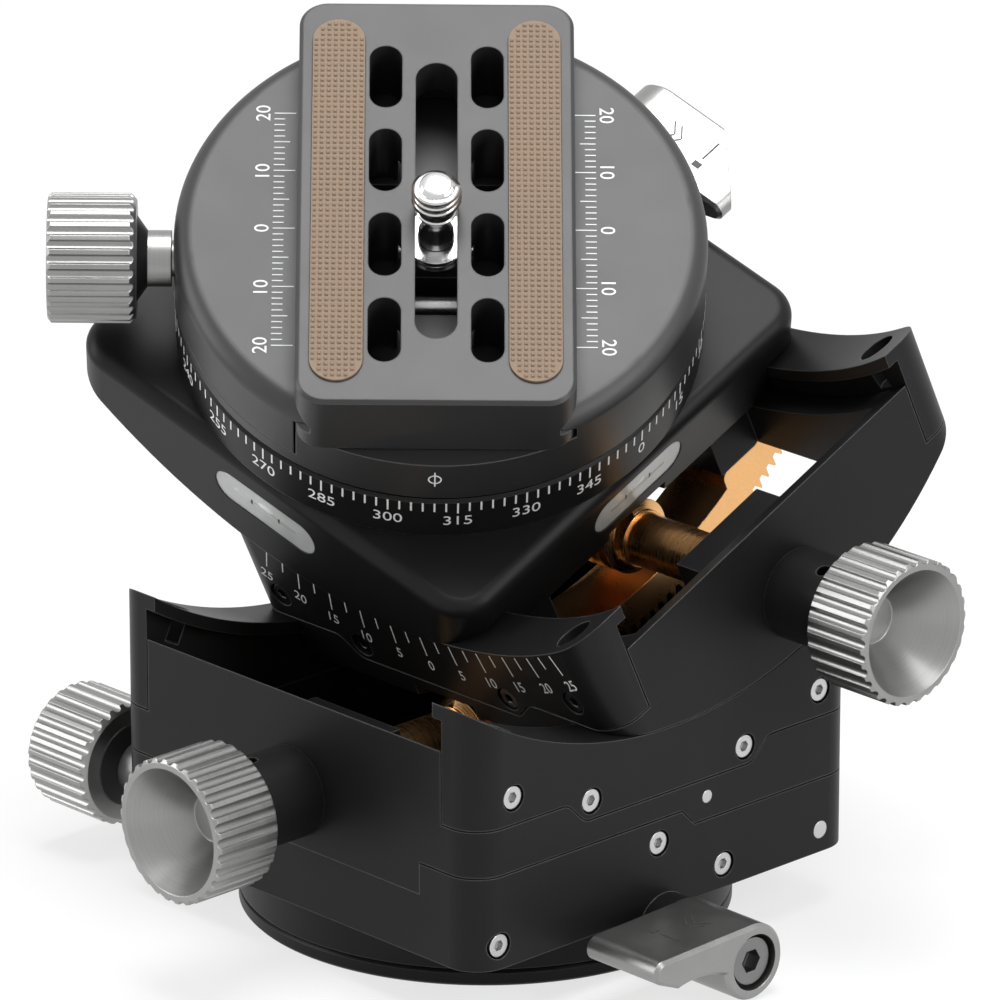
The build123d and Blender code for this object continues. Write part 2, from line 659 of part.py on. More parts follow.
def lower_housing():
    """Square housing with its round skirt, bored for the spindle, open at the top."""
    low = FLANGE_THICK + TURN_GAP
    room = BLOCK_HALF - HOUSING_WALL
    body = column(BLOCK_HALF, BLOCK_CORNER, SKIRT_TOP, SEAM_HIGH) & seam_below()
    body -= column(room, BLOCK_CORNER, HOUSING_FLOOR, TALL)
    body += disc(FOOT_RADIUS, low, SKIRT_TOP + 1)
    lug = drum(LUG_RADIUS, FOOT_RADIUS - 4, LUG_END, LOCK_Z, LOCK_Y)
    body += lug - disc(FOOT_RADIUS + TURN_GAP, -1, low)
    body -= disc(SPINDLE_RADIUS + FIT, 0, HOUSING_FLOOR + 1)
    ring = SPINDLE_RADIUS + DRAG_RING
    deep = HOUSING_FLOOR - RECESS
    body -= disc(ring + 0.2, deep, HOUSING_FLOOR + 1)
    body -= slab(-EAR_HALF - 0.4, EAR_HALF + 0.4, -EAR_END - 0.3, -SPINDLE_RADIUS, deep, HOUSING_FLOOR + 1)
    body -= notch() + collar_seat(LOWER)
    body -= drum(BOLT_RADIUS + FIT, 0, TALL / 2, LOCK_Z, LOCK_Y)
    body -= drum(PAD_ROOM, 0, SPINDLE_RADIUS + PAD_LENGTH + 1.5, LOCK_Z, LOCK_Y)
    body -= drum(SCREW_RADIUS + FIT, -TALL, -BLOCK_HALF / 2, DRAG_Z, DRAG_Y)
    body -= drum(SCREW_RADIUS + 0.6, -BLOCK_HALF / 2 - 1, DRAG_REACH + 1, DRAG_Z, DRAG_Y)
    body -= (seam_below() - seam_below(SEAM_TALL)) & rim()
    beam = SPINDLE_TOP + WASHER_THICK + WASHER_HEADS + 0.4
    body += far_bearing(LOWER, beam, BOSS_HALF)
    body += slab(-BOSS_HALF, BOSS_HALF, WORM_LENGTH / 2 + BEARING_THICK, room + 1, beam, beam + BEAM_THICK)
    for y, z in HOUSING_SCREWS:
        body -= cap_hole(y, z, BLOCK_HALF)
        body -= mirror(cap_hole(y, z, BLOCK_HALF), about=Plane.YZ)
    return body - pin_hole(*LOW_PIN)


def far_bearing(slide, low, half):
    """Post with the bearing of the worm's far journal; the sector passes over it."""
    start = WORM_LENGTH / 2 + 0.4
    post = slab(-half, half, start, start + BEARING_THICK, low, slide.axis)
    post -= drum(slide.swing, -TALL, TALL, slide.axis)
    bore = outward(slide, 0) * disc(JOURNAL_RADIUS + FIT, -TALL / 2, 0)
    return post - bore


def knob_wall(slide, low, boss_low):
    """Knob wall on the -Y side with its bearing boss inside; the top clears what swings over it."""
    reach = PLATE_IN - WALL_GAP
    inside = WALL_THICK - BLOCK_HALF
    wall = slab(-reach, reach, -BLOCK_HALF, inside, low, slide.wall_top)
    high = slide.worm + BOSS_TALL
    wall += slab(-BOSS_HALF, BOSS_HALF, inside - 1, inside + BOSS_THICK, boss_low, high)
    wall -= drum(slide.swing, -TALL, TALL, slide.axis)
    return wall


def collar_seat(slide):
    """Hole for the bearing collar's spigot."""
    return outward(slide, 0) * disc(COLLAR_SPIGOT, BLOCK_HALF - WALL_THICK - BOSS_THICK - 1, BLOCK_HALF + 1)


def lower_frame():
    """Frame on the housing: knob wall, plain rear wall and the sills under the arc plates."""
    low = SEAM_LOW - NOTCH_DROP
    block = column(BLOCK_HALF, BLOCK_CORNER, low, LOWER.wall_top) - seam_below()
    inside = BLOCK_HALF - WALL_THICK
    block -= slab(-PLATE_IN, PLATE_IN, -inside, inside, 0, TALL)
    reach = PLATE_IN - WALL_GAP
    side = along_x(plate_outline(LOWER), reach, BLOCK_HALF + 1)
    line = along_x(plate_outline(LOWER, SEAM_TALL), reach, BLOCK_HALF + 1) & rim()
    for cut in (side, line):
        block -= cut
        block -= mirror(cut, about=Plane.YZ)
    block -= drum(LOWER.swing, -reach, reach, LOWER.axis)
    block += knob_wall(LOWER, SEAM_HIGH, SEAM_HIGH)
    block += notch() & slab(-TALL, TALL, -TALL, 2.8 - BLOCK_HALF, 0, TALL)
    return block - collar_seat(LOWER) - pin_hole(*HIGH_PIN)


def housing_screws():
    """Screws in both sides of the housing."""
    group = []
    for y, z in HOUSING_SCREWS:
        one = cap_screw(y, z, BLOCK_HALF)
        group += [one, mirror(one, about=Plane.YZ)]
    return together(group)


def pin_hole(y, z, radius):
    """Hole of a flush dowel."""
    return drum(radius, BLOCK_HALF - PIN_LENGTH, BLOCK_HALF + 1, z, y)


def dowel_pins():
    """The two flush dowels of the +X face."""
    places = (LOW_PIN, HIGH_PIN)
    return together(drum(radius, BLOCK_HALF - PIN_LENGTH, BLOCK_HALF, z, y) for y, z, radius in places)


def lock_pad(radius, height):
    """Brass pad that a lock bolt presses into a spindle's groove, along +X."""
    return drum(PAD_ROOM - FIT, radius + FIT, radius + PAD_LENGTH, height)


def drag_ring():
    """Split ring round the spindle, with the two ears that the drag screw draws together."""
    ring = SPINDLE_RADIUS + DRAG_RING
    low = HOUSING_FLOOR - RECESS
    high = HOUSING_FLOOR - 0.4
    body = disc(ring, low, high)
    body += slab(-EAR_HALF, EAR_HALF, -EAR_END, -SPINDLE_RADIUS - 3, low, EAR_TOP)
    body -= disc(WASHER_RADIUS + 0.4, high, TALL)
    body -= disc(SPINDLE_RADIUS + FIT, low - 1, high + 1)
    body -= drum(SCREW_RADIUS + FIT, -TALL, TALL, DRAG_Z, DRAG_Y)
    return body - slab(-0.6, 0.6, -EAR_END - 1, 0, low - 1, EAR_TOP + 1)


def well(high):
    """Open well through the cradle, from its underside to a height."""
    return extrude(RectangleRounded(2 * WELL_X, 2 * WELL_Y, WELL_CORNER), high)


def cradle_frame():
    """Saddle between the two slides: convex underside with rails, open well, knob wall, end walls."""
    low_slide = LOWER
    high = UPPER.wall_top
    block = column(BLOCK_HALF, BLOCK_CORNER, low_slide.low - 1, high)
    block &= drum(low_slide.arc - SLIDE_GAP, -TALL, TALL, low_slide.axis)
    swing = QUARTER * drum(UPPER.swing, -PLATE_IN, PLATE_IN, UPPER.axis)
    block -= swing
    block -= well(high)
    wide = BLOCK_HALF - WALL_THICK
    ledge = low_slide.low + LEDGE_RISE
    block -= slab(-wide, wide, -WELL_Y, WELL_Y, ledge, TALL)
    block += mount_blocks(low_slide, WELL_Y + 1, UPPER.worm + 4.5) - swing
    block += rails(low_slide)
    block += end_walls(low_slide, BLOCK_HALF) & column(BLOCK_HALF, BLOCK_CORNER, 0, high)
    reach = PLATE_IN - WALL_GAP
    side = QUARTER * along_x(plate_outline(UPPER), reach, BLOCK_HALF + 1)
    line = QUARTER * (along_x(plate_outline(UPPER, SEAM_TALL), reach, BLOCK_HALF + 1) & rim())
    for cut in (side, line):
        block -= cut
        block -= mirror(cut, about=Plane.XZ)
    block += QUARTER * knob_wall(UPPER, ledge - 1, ledge - 4)
    block += QUARTER * far_bearing(UPPER, low_slide.pad, WELL_Y + 0.5)
    block -= QUARTER * collar_seat(UPPER)
    block -= QUARTER * outward(UPPER, 0) * disc(SHANK_RADIUS + 0.5, 0, BLOCK_HALF)
    block -= sector_room(low_slide)
    return block


def stage_body():
    """Square table: convex underside with rails, end walls, hollow middle, hub for the clamp."""
    slide = UPPER
    table = column(TABLE_HALF, TABLE_CORNER, slide.low - 1, TABLE_TOP)
    table = fillet(table.edges().group_by(Axis.Z)[-1], TABLE_ROUND)
    turned = QUARTER.inverse() * table
    under = turned & drum(slide.arc - SLIDE_GAP, -TALL, TALL, slide.axis)
    hollow = RAIL_OUT - RAIL_WIDE - 2
    under -= slab(-hollow, hollow, -WELL_Y, WELL_Y, 0, HUB_LOW)
    under += mount_blocks(slide, WELL_Y + 1, HUB_LOW + 1)
    under += rails(slide)
    under += end_walls(slide, TABLE_HALF) & turned
    under -= sector_room(slide)
    body = QUARTER * under
    body += disc(HUB_RADIUS, TABLE_TOP - 1, RING_TOP - 0.1)
    body -= disc(STAGE_SPINDLE + FIT, 0, TALL)
    body -= vial_room(VIAL_FRONT_Z, Rot(Z=-90))
    body -= vial_room(VIAL_RIGHT_Z, Rot(Z=0))
    body += Rot(Z=90) * drum(TOP_LUG_RADIUS, TABLE_HALF - 3, TOP_LUG_END, TOP_LOCK_Z, -TOP_LOCK_X)
    return body - top_lock_bore()


def top_lock_bore():
    """Bore for the top lock's bolt and pad."""
    bore = drum(BOLT_RADIUS + FIT, 0, TALL / 2, TOP_LOCK_Z, -TOP_LOCK_X)
    bore += drum(PAD_ROOM, 0, STAGE_SPINDLE + PAD_LENGTH + 1.5, TOP_LOCK_Z, -TOP_LOCK_X)
    return Rot(Z=90) * bore


def vial_face():
    """Outline of a bubble level, in the Y-Z plane."""
    return SlotOverall(VIAL_LENGTH, VIAL_HEIGHT)


def vial_room(height, turn):
    """Pocket of a bubble level in a side face of the table."""
    return turn * along_x(Pos(0, height) * vial_face(), TABLE_HALF - VIAL_DEPTH, TABLE_HALF + 1)


def vial(height, turn):
    """Bubble level, flush in its pocket."""
    return turn * along_x(Pos(0, height) * vial_face(), TABLE_HALF - VIAL_DEPTH, TABLE_HALF - 0.15)


def pan_ring():
    """Ring with the pan scale, round the table's hub."""
    ring = disc(RING_RADIUS, TABLE_TOP, RING_TOP) - disc(HUB_RADIUS, TABLE_TOP - 1, RING_TOP + 1)
    ring = chamfer(ring.edges().group_by(Axis.Z)[-1].sort_by(SortBy.RADIUS)[-1], 0.4)
    lug = drum(TOP_LUG_RADIUS, TABLE_HALF - 3, TALL / 2, TOP_LOCK_Z, -TOP_LOCK_X)
    return ring - Rot(Z=90) * lug - top_lock_bore()


def clamp_blank():
    """Round clamp, whole, with its rounded top edge."""
    blank = disc(CLAMP_RADIUS, CLAMP_LOW, CLAMP_TOP)
    blank = fillet(blank.edges().group_by(Axis.Z)[-1], CLAMP_ROUND)
    return chamfer(blank.edges().group_by(Axis.Z)[0], 0.8)


def plate_section(gap=0.0):
    """Half of the plate's cross-section from its middle out, in the U-Z plane, grown by gap."""
    wide = PLATE_HALF_WIDE + gap
    deep = wide - VEE_DEPTH
    return [
        (wide, VEE_TOP), (deep, VEE_TOP - VEE_DEPTH), (deep, VEE_LOW + VEE_DEPTH - 1.2), (wide, VEE_LOW),
    ]


def channel():
    """Dovetail channel through the clamp that the plate slides in."""
    right = plate_section(DOVE_GAP)
    top = CLAMP_TOP + 3
    left = [(-u, z) for u, z in right]
    outline = [(right[0][0], top), *right, (right[-1][0], CHANNEL_FLOOR)]
    outline += [(left[-1][0], CHANNEL_FLOOR), *reversed(left), (left[0][0], top)]
    tool = extrude(Plane.XZ * make_face(Polyline(*outline, close=True)), TALL)
    return Pos(PLATE_U, TALL / 2) * tool


def jaw_zone(line):
    """Everything on the jaw's side of a split line, above the tray, with its dovetail nose."""
    return slab(-TALL, line, -TALL, TALL, TRAY_TOP, TALL) + slab(-TALL, 0, -TALL, TALL, CHANNEL_FLOOR, TALL)


def rod_places():
    """V of the two guide rods."""
    return -ROD_PLACE, ROD_PLACE


def clamp_body():
    """Fixed part of the clamp with its spindle."""
    body = clamp_blank() - jaw_zone(JAW_LINE) - channel()
    body += disc(STAGE_SPINDLE, SPINDLE_LOW, CLAMP_LOW + 1)
    body -= spindle_groove(STAGE_SPINDLE, TOP_LOCK_Z)
    body -= drum(SCREW_RADIUS + FIT, JAW_LINE - 1, SCREW_REACH + 1, SCREW_Z)
    long, wide, deep = ROD_GROOVE
    for v in rod_places():
        body -= drum(ROD_RADIUS + FIT, JAW_LINE - 1, ROD_REACH + 1, SCREW_Z, v)
        body -= slab(-long, long, v - wide, v + wide, SCREW_Z - deep, CHANNEL_FLOOR + 1)
    return body


def clamp_jaw():
    """Moving jaw, a segment of the clamp."""
    jaw = (clamp_blank() & jaw_zone(JAW_LINE - JAW_GAP)) - channel()
    jaw -= slab(-TALL, TALL, -TALL, TALL, 0, TRAY_TOP + 0.15)
    jaw -= drum(SCREW_RADIUS + FIT, -TALL / 2, 0, SCREW_Z)
    for v in rod_places():
        jaw -= drum(ROD_RADIUS, -ROD_START, 0, SCREW_Z, v)
    return jaw


def guide_rods():
    """Two polished rods, fast in the jaw, that slide in the body."""
    end = ROD_REACH - JAW_TRAVEL - 1
    return together(drum(ROD_RADIUS, -ROD_START, end, SCREW_Z, v) for v in rod_places())


def camera_plate():
    """Quick-release plate with its dovetail sides, eight slots and the camera screw's stepped slot."""
    right = [(PLATE_HALF_WIDE, PLATE_TOP), *plate_section(), (PLATE_HALF_WIDE, PLATE_LOW)]
    left = [(-u, z) for u, z in reversed(right)]
    bar = extrude(Plane.XZ * make_face(Polyline(*right, *left, close=True)), 2 * PLATE_HALF_LONG)
    bar = Pos(0, PLATE_HALF_LONG) * bar
    bar &= Pos(0, 0, PLATE_LOW) * extrude(
        RectangleRounded(2 * PLATE_HALF_WIDE, 2 * PLATE_HALF_LONG, PLATE_CORNER), PLATE_TOP - PLATE_LOW
    )
    bar = chamfer(bar.edges().group_by(Axis.Z)[-1], 0.5)
    upright = Rot(Z=90)
    for side in (-1, 1):
        for row in range(4):
            place = Pos(side * SLOT_U, (row - 1.5) * SLOT_PITCH - PLATE_V, PLATE_LOW - 1)
            bar -= place * extrude(upright * SlotOverall(SLOT_LONG, SLOT_WIDE), TALL / 10)
        bar -= Pos(side * STRIP_U, 0, PLATE_TOP - STRIP_DEEP) * extrude(
            upright * SlotOverall(STRIP_LONG, STRIP_WIDE), TALL / 10
        )
    bar -= Pos(0, 0, PLATE_LOW - 1) * extrude(upright * SlotOverall(2 * TRACK_HALF, TRACK_WIDE), TALL / 10)
    bar -= Pos(0, 0, PLATE_LOW - 1) * extrude(
        upright * SlotOverall(2 * TRACK_HALF + STEP_WIDE - TRACK_WIDE, STEP_WIDE), STEP_DEEP + 1
    )
    return Pos(PLATE_U, PLATE_V) * bar


def rubber_strips():
    """Two rubber strips sunk in the plate."""
    high = STRIP_DEEP + STRIP_PROUD
    strip = Pos(0, 0, PLATE_TOP - STRIP_DEEP) * extrude(Rot(Z=90) * SlotOverall(STRIP_LONG, STRIP_WIDE), high)
    return together(Pos(PLATE_U + side * STRIP_U, PLATE_V) * strip for side in (-1, 1))


def camera_screw():
    """1/4 inch screw: threaded tip, neck, shoulder and slotted head under the plate."""
    ledge = PLATE_LOW + STEP_DEEP
    tip = PLATE_TOP + STUD_PROUD
    screw = disc(STUD_RADIUS, PLATE_TOP + 1.2, tip)
    screw = chamfer(screw.edges().group_by(Axis.Z)[-1], 0.8)
    screw += disc(STUD_NECK, ledge - STUD_HEAD_THICK - RING_THICK, PLATE_TOP + 1.2)
    head = disc(STUD_HEAD, ledge - RING_THICK - STUD_HEAD_THICK - 0.1, ledge - RING_THICK - 0.1)
    head -= slab(-TALL / 2, TALL / 2, -0.6, 0.6, 0, ledge - RING_THICK - STUD_HEAD_THICK + 0.6)
    return Pos(PLATE_U, STUD_V) * (screw + head)


def screw_washer():
    """Washer that slides in the step of the plate's slot and carries the camera screw."""
    ledge = PLATE_LOW + STEP_DEEP
    ring = disc(STUD_HEAD, ledge - RING_THICK, ledge - 0.05) - disc(STUD_NECK + FIT, 0, TALL)
    return Pos(PLATE_U, STUD_V) * ring


def small_knob_parts(neck, thread):
    """Knob, cone and screw of a small knob along +Z from the face that it stands on."""
    cone = neck + CONE_END - NECK_END
    knob = Pos(0, 0, cone) * small_knob()
    collar = Pos(0, 0, cone) * cone_collar()
    screw = disc(NECK_RADIUS, 0.3, neck) + disc(SCREW_RADIUS, -thread, 0.3)
    return knob, collar, screw


def facing_minus_x(x, y, z):
    """Place with +Z pointing along -X."""
    return Location(Plane(origin=(x, y, z), x_dir=(0, 1, 0), z_dir=(-1, 0, 0)))


def build():
    """All pieces by name, each at its place."""
    parts = {}
    parts["base_foot"] = base_foot()
    parts["base_insert"] = base_insert()
    parts["retaining_washer"] = retaining_washer()
    parts["retaining_screws"] = together(washer_screws(CAP_RADIUS))

    parts["lower_housing"] = lower_housing()
    parts["lower_frame"] = lower_frame()
    plate = arc_plate(LOWER)
    screws = plate_screws(LOWER)
    parts["lower_arc_plate_right"] = plate
    parts["lower_arc_plate_left"] = mirror(plate, about=Plane.YZ)
    parts["lower_plate_screws"] = screws + mirror(screws, about=Plane.YZ)
    parts["housing_screws"] = housing_screws()
    parts["dowel_pins"] = dowel_pins()
    parts["drag_ring"] = drag_ring()
    parts["pan_lock_pad"] = Pos(0, LOCK_Y) * lock_pad(SPINDLE_RADIUS, LOCK_Z)
    parts["lower_bearing_collar"] = bearing_collar(LOWER)
    parts["lower_worm"] = worm_shaft(LOWER)
    parts["lower_knob"] = big_knob(LOWER)

    lock = Location(
        Plane(origin=(LUG_END + 0.2 + LEVER_WIDE, LOCK_Y, LOCK_Z), x_dir=(0, -1, 0), z_dir=(-1, 0, 0))
    )
    parts["pan_lock_lever"] = lock * lever(LEVER_WIDE)
    parts["pan_lock_bolt"] = lock * lever_bolt(LEVER_WIDE, LUG_END + 0.1 - SPINDLE_RADIUS - PAD_LENGTH)

    drag = facing_minus_x(-BLOCK_HALF, DRAG_Y, DRAG_Z)
    knob, collar, screw = small_knob_parts(DRAG_NECK, BLOCK_HALF + DRAG_REACH)
    parts["drag_knob"] = drag * knob
    parts["drag_knob_collar"] = drag * collar
    parts["drag_screw"] = drag * screw

    parts["cradle_frame"] = CRADLE * cradle_frame()
    above = slab(-TALL, TALL, -TALL, TALL, UPPER.low - PLATE_TAB - 0.1, TALL)
    above -= slab(-TALL, TALL, 0.1 - PLATE_IN, PLATE_IN - 0.1, 0, 2 * TALL)
    parts["lower_gear_sector"] = CRADLE * (gear_sector(LOWER) - above)
    plate = QUARTER * arc_plate(UPPER)
    screws = QUARTER * plate_screws(UPPER)
    parts["upper_arc_plate_rear"] = CRADLE * plate
    parts["upper_arc_plate_front"] = CRADLE * mirror(plate, about=Plane.XZ)
    parts["upper_plate_screws"] = CRADLE * (screws + mirror(screws, about=Plane.XZ))
    parts["upper_bearing_collar"] = CRADLE * QUARTER * bearing_collar(UPPER)
    parts["upper_worm"] = CRADLE * QUARTER * worm_shaft(UPPER)
    parts["upper_knob"] = CRADLE * QUARTER * big_knob(UPPER)

    parts["stage_body"] = STAGE * stage_body()
    parts["upper_gear_sector"] = STAGE * QUARTER * gear_sector(UPPER)
    parts["pan_ring"] = STAGE * pan_ring()
    parts["vial_front"] = STAGE * vial(VIAL_FRONT_Z, Rot(Z=-90))
    parts["vial_right"] = STAGE * vial(VIAL_RIGHT_Z, Rot(Z=0))
    top_lock = STAGE * Location(
        Plane(origin=(TOP_LOCK_X, TOP_LUG_END + TOP_LEVER_WIDE, TOP_LOCK_Z), x_dir=(1, 0, 0), z_dir=(0, -1, 0))
    )
    parts["top_lock_pad"] = STAGE * Rot(Z=90) * Pos(0, -TOP_LOCK_X) * lock_pad(STAGE_SPINDLE, TOP_LOCK_Z)
    reach = TOP_LUG_END - STAGE_SPINDLE - PAD_LENGTH - 0.1
    parts["top_lock_lever"] = top_lock * lever(TOP_LEVER_WIDE, TOP_LEVER_CUT)
    parts["top_lock_bolt"] = top_lock * lever_bolt(TOP_LEVER_WIDE, reach)

    parts["clamp_body"] = CLAMP * clamp_body()
    parts["clamp_jaw"] = CLAMP * clamp_jaw()
    parts["guide_rods"] = CLAMP * guide_rods()
    clamp_axis = CLAMP * facing_minus_x(-CLAMP_RADIUS, 0, SCREW_Z)
    knob, collar, screw = small_knob_parts(NECK_END - CLAMP_RADIUS, CLAMP_RADIUS + SCREW_REACH - JAW_TRAVEL - 1)
    parts["clamp_knob"] = clamp_axis * knob
    parts["clamp_knob_collar"] = clamp_axis * collar
    parts["clamp_screw"] = clamp_axis * screw

    parts["camera_plate"] = CLAMP * camera_plate()
    parts["rubber_strips"] = CLAMP * rubber_strips()
    parts["camera_screw"] = CLAMP * camera_screw()
    parts["screw_washer"] = CLAMP * screw_washer()
    return parts



os.makedirs("parts", exist_ok=True)
for name, piece in build().items():
    export_step(piece, f"parts/{name}.step")
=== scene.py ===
"""Geared tripod head: finishes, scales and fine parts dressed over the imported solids."""

from __future__ import annotations

import json
import logging
import math
from dataclasses import dataclass
from enum import Enum
from typing import Callable, Iterable, Sequence

import bpy
from mathutils import Matrix, Vector

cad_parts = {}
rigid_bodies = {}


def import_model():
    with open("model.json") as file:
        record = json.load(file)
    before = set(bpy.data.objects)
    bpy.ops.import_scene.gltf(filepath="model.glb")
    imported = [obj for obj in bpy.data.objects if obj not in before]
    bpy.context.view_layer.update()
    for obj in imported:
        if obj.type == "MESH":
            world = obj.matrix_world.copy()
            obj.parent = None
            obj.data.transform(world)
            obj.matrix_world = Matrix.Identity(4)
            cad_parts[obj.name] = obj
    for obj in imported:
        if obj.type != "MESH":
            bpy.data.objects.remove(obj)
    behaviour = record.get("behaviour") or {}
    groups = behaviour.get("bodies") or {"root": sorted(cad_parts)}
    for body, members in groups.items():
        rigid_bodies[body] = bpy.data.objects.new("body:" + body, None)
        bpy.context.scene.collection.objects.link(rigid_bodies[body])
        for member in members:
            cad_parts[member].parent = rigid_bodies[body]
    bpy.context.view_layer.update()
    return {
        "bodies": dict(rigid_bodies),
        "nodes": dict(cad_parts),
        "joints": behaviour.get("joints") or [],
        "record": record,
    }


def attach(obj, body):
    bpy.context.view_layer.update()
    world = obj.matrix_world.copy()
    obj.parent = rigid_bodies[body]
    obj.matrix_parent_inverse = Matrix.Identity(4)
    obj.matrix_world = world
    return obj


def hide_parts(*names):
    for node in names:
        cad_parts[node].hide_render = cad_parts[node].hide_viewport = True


LOG = logging.getLogger("tripod_head")
MM = 0.001
THREAD_STEPS = 32          # sides of a thread in one turn
Point = tuple[float, float, float]


# ---- places ------------------------------------------------------------------------------------
def turn(angle: float, axis: str) -> Matrix:
    """Rotation by degrees about a named axis."""
    return Matrix.Rotation(math.radians(angle), 4, axis)


def shift(x: float, y: float, z: float) -> Matrix:
    """Translation."""
    return Matrix.Translation((x, y, z))


@dataclass(frozen=True)
class Stack:
    """The stacked stages, in millimetres, in the pose of the photograph.

    Each place takes a point of the level head to where the tilts and the pan put it. The heights
    of the worms and screws are those of the level head.
    """

    lower_axis: float = 100.0
    upper_axis: float = 118.4
    tilt: float = 25.0
    pan: float = 41.1
    lower_worm: float = 24.9
    upper_worm: float = 42.4
    clamp_screw: float = 83.0
    drag_across: float = -26.5
    drag_height: float = 13.6
    stud_along: float = -0.7
    stud_across: float = -1.5
    pan_lever_top: Point = (47.0, -5.2, 10.90)
    top_lever_top: Point = (4.6, 44.0, 73.60)
    lever_slope: float = 1.7

    @property
    def cradle(self) -> Matrix:
        """The cradle, tilted about the lower axis."""
        axis = shift(0, 0, self.lower_axis)
        return axis @ turn(self.tilt, "X") @ axis.inverted()

    @property
    def stage(self) -> Matrix:
        """The top stage, tilted about the upper axis on the cradle."""
        axis = shift(0, 0, self.upper_axis)
        return self.cradle @ axis @ turn(self.tilt, "Y") @ axis.inverted()

    @property
    def clamp(self) -> Matrix:
        """The clamp, panned on the top stage."""
        return self.stage @ turn(self.pan, "Z")

    @property
    def stud(self) -> Matrix:
        """The camera screw's axis in the clamp's plate."""
        return self.clamp @ shift(self.stud_along, self.stud_across, 0)

    @property
    def pan_lever(self) -> Matrix:
        """The pan lever's flat top, its arm along X."""
        return shift(*self.pan_lever_top) @ turn(self.lever_slope, "X") @ turn(-90, "Z")

    @property
    def top_lever(self) -> Matrix:
        """The top lever's flat top, its arm along X."""
        return self.stage @ shift(*self.top_lever_top) @ turn(self.lever_slope, "Y")


STACK = Stack()


# ---- shader graphs in Python expressions -------------------------------------------------------
class Value:
    """One shader socket; arithmetic on it adds Math nodes to its graph."""

    def __init__(self, graph: Graph, socket: bpy.types.NodeSocket) -> None:
        """Wrap a socket of a graph."""
        self.graph = graph
        self.socket = socket

    def math(self, operation: str, *others: Value | float, clamp: bool = False) -> Value:
        """Add a Math node.

        Args:
            operation: the node's operation.
            others: its other inputs, values or numbers.
            clamp: whether the result stays between 0 and 1.

        Returns:
            The node's result.
        """
        return self.graph.maths(operation, self, *others, clamp=clamp)

    def __add__(self, other: Value | float) -> Value:
        """Sum."""
        return self.math("ADD", other)

    __radd__ = __add__

    def __mul__(self, other: Value | float) -> Value:
        """Product."""
        return self.math("MULTIPLY", other)

    __rmul__ = __mul__

    def __sub__(self, other: Value | float) -> Value:
        """Difference."""
        return self.math("SUBTRACT", other)

    def __rsub__(self, other: float) -> Value:
        """Reflected difference."""
        return self.graph.maths("SUBTRACT", other, self)

    def between(self, low: float, high: float) -> Value:
        """Smooth step.

        Args:
            low: value at which it leaves 0.
            high: value at which it reaches 1.

        Returns:
            The step.
        """
        node = self.graph.node("ShaderNodeMapRange", {"interpolation_type": "SMOOTHSTEP"})
        self.graph.link(self, node.inputs["Value"])
        node.inputs["From Min"].default_value = low
        node.inputs["From Max"].default_value = high
        return Value(self.graph, node.outputs["Result"])


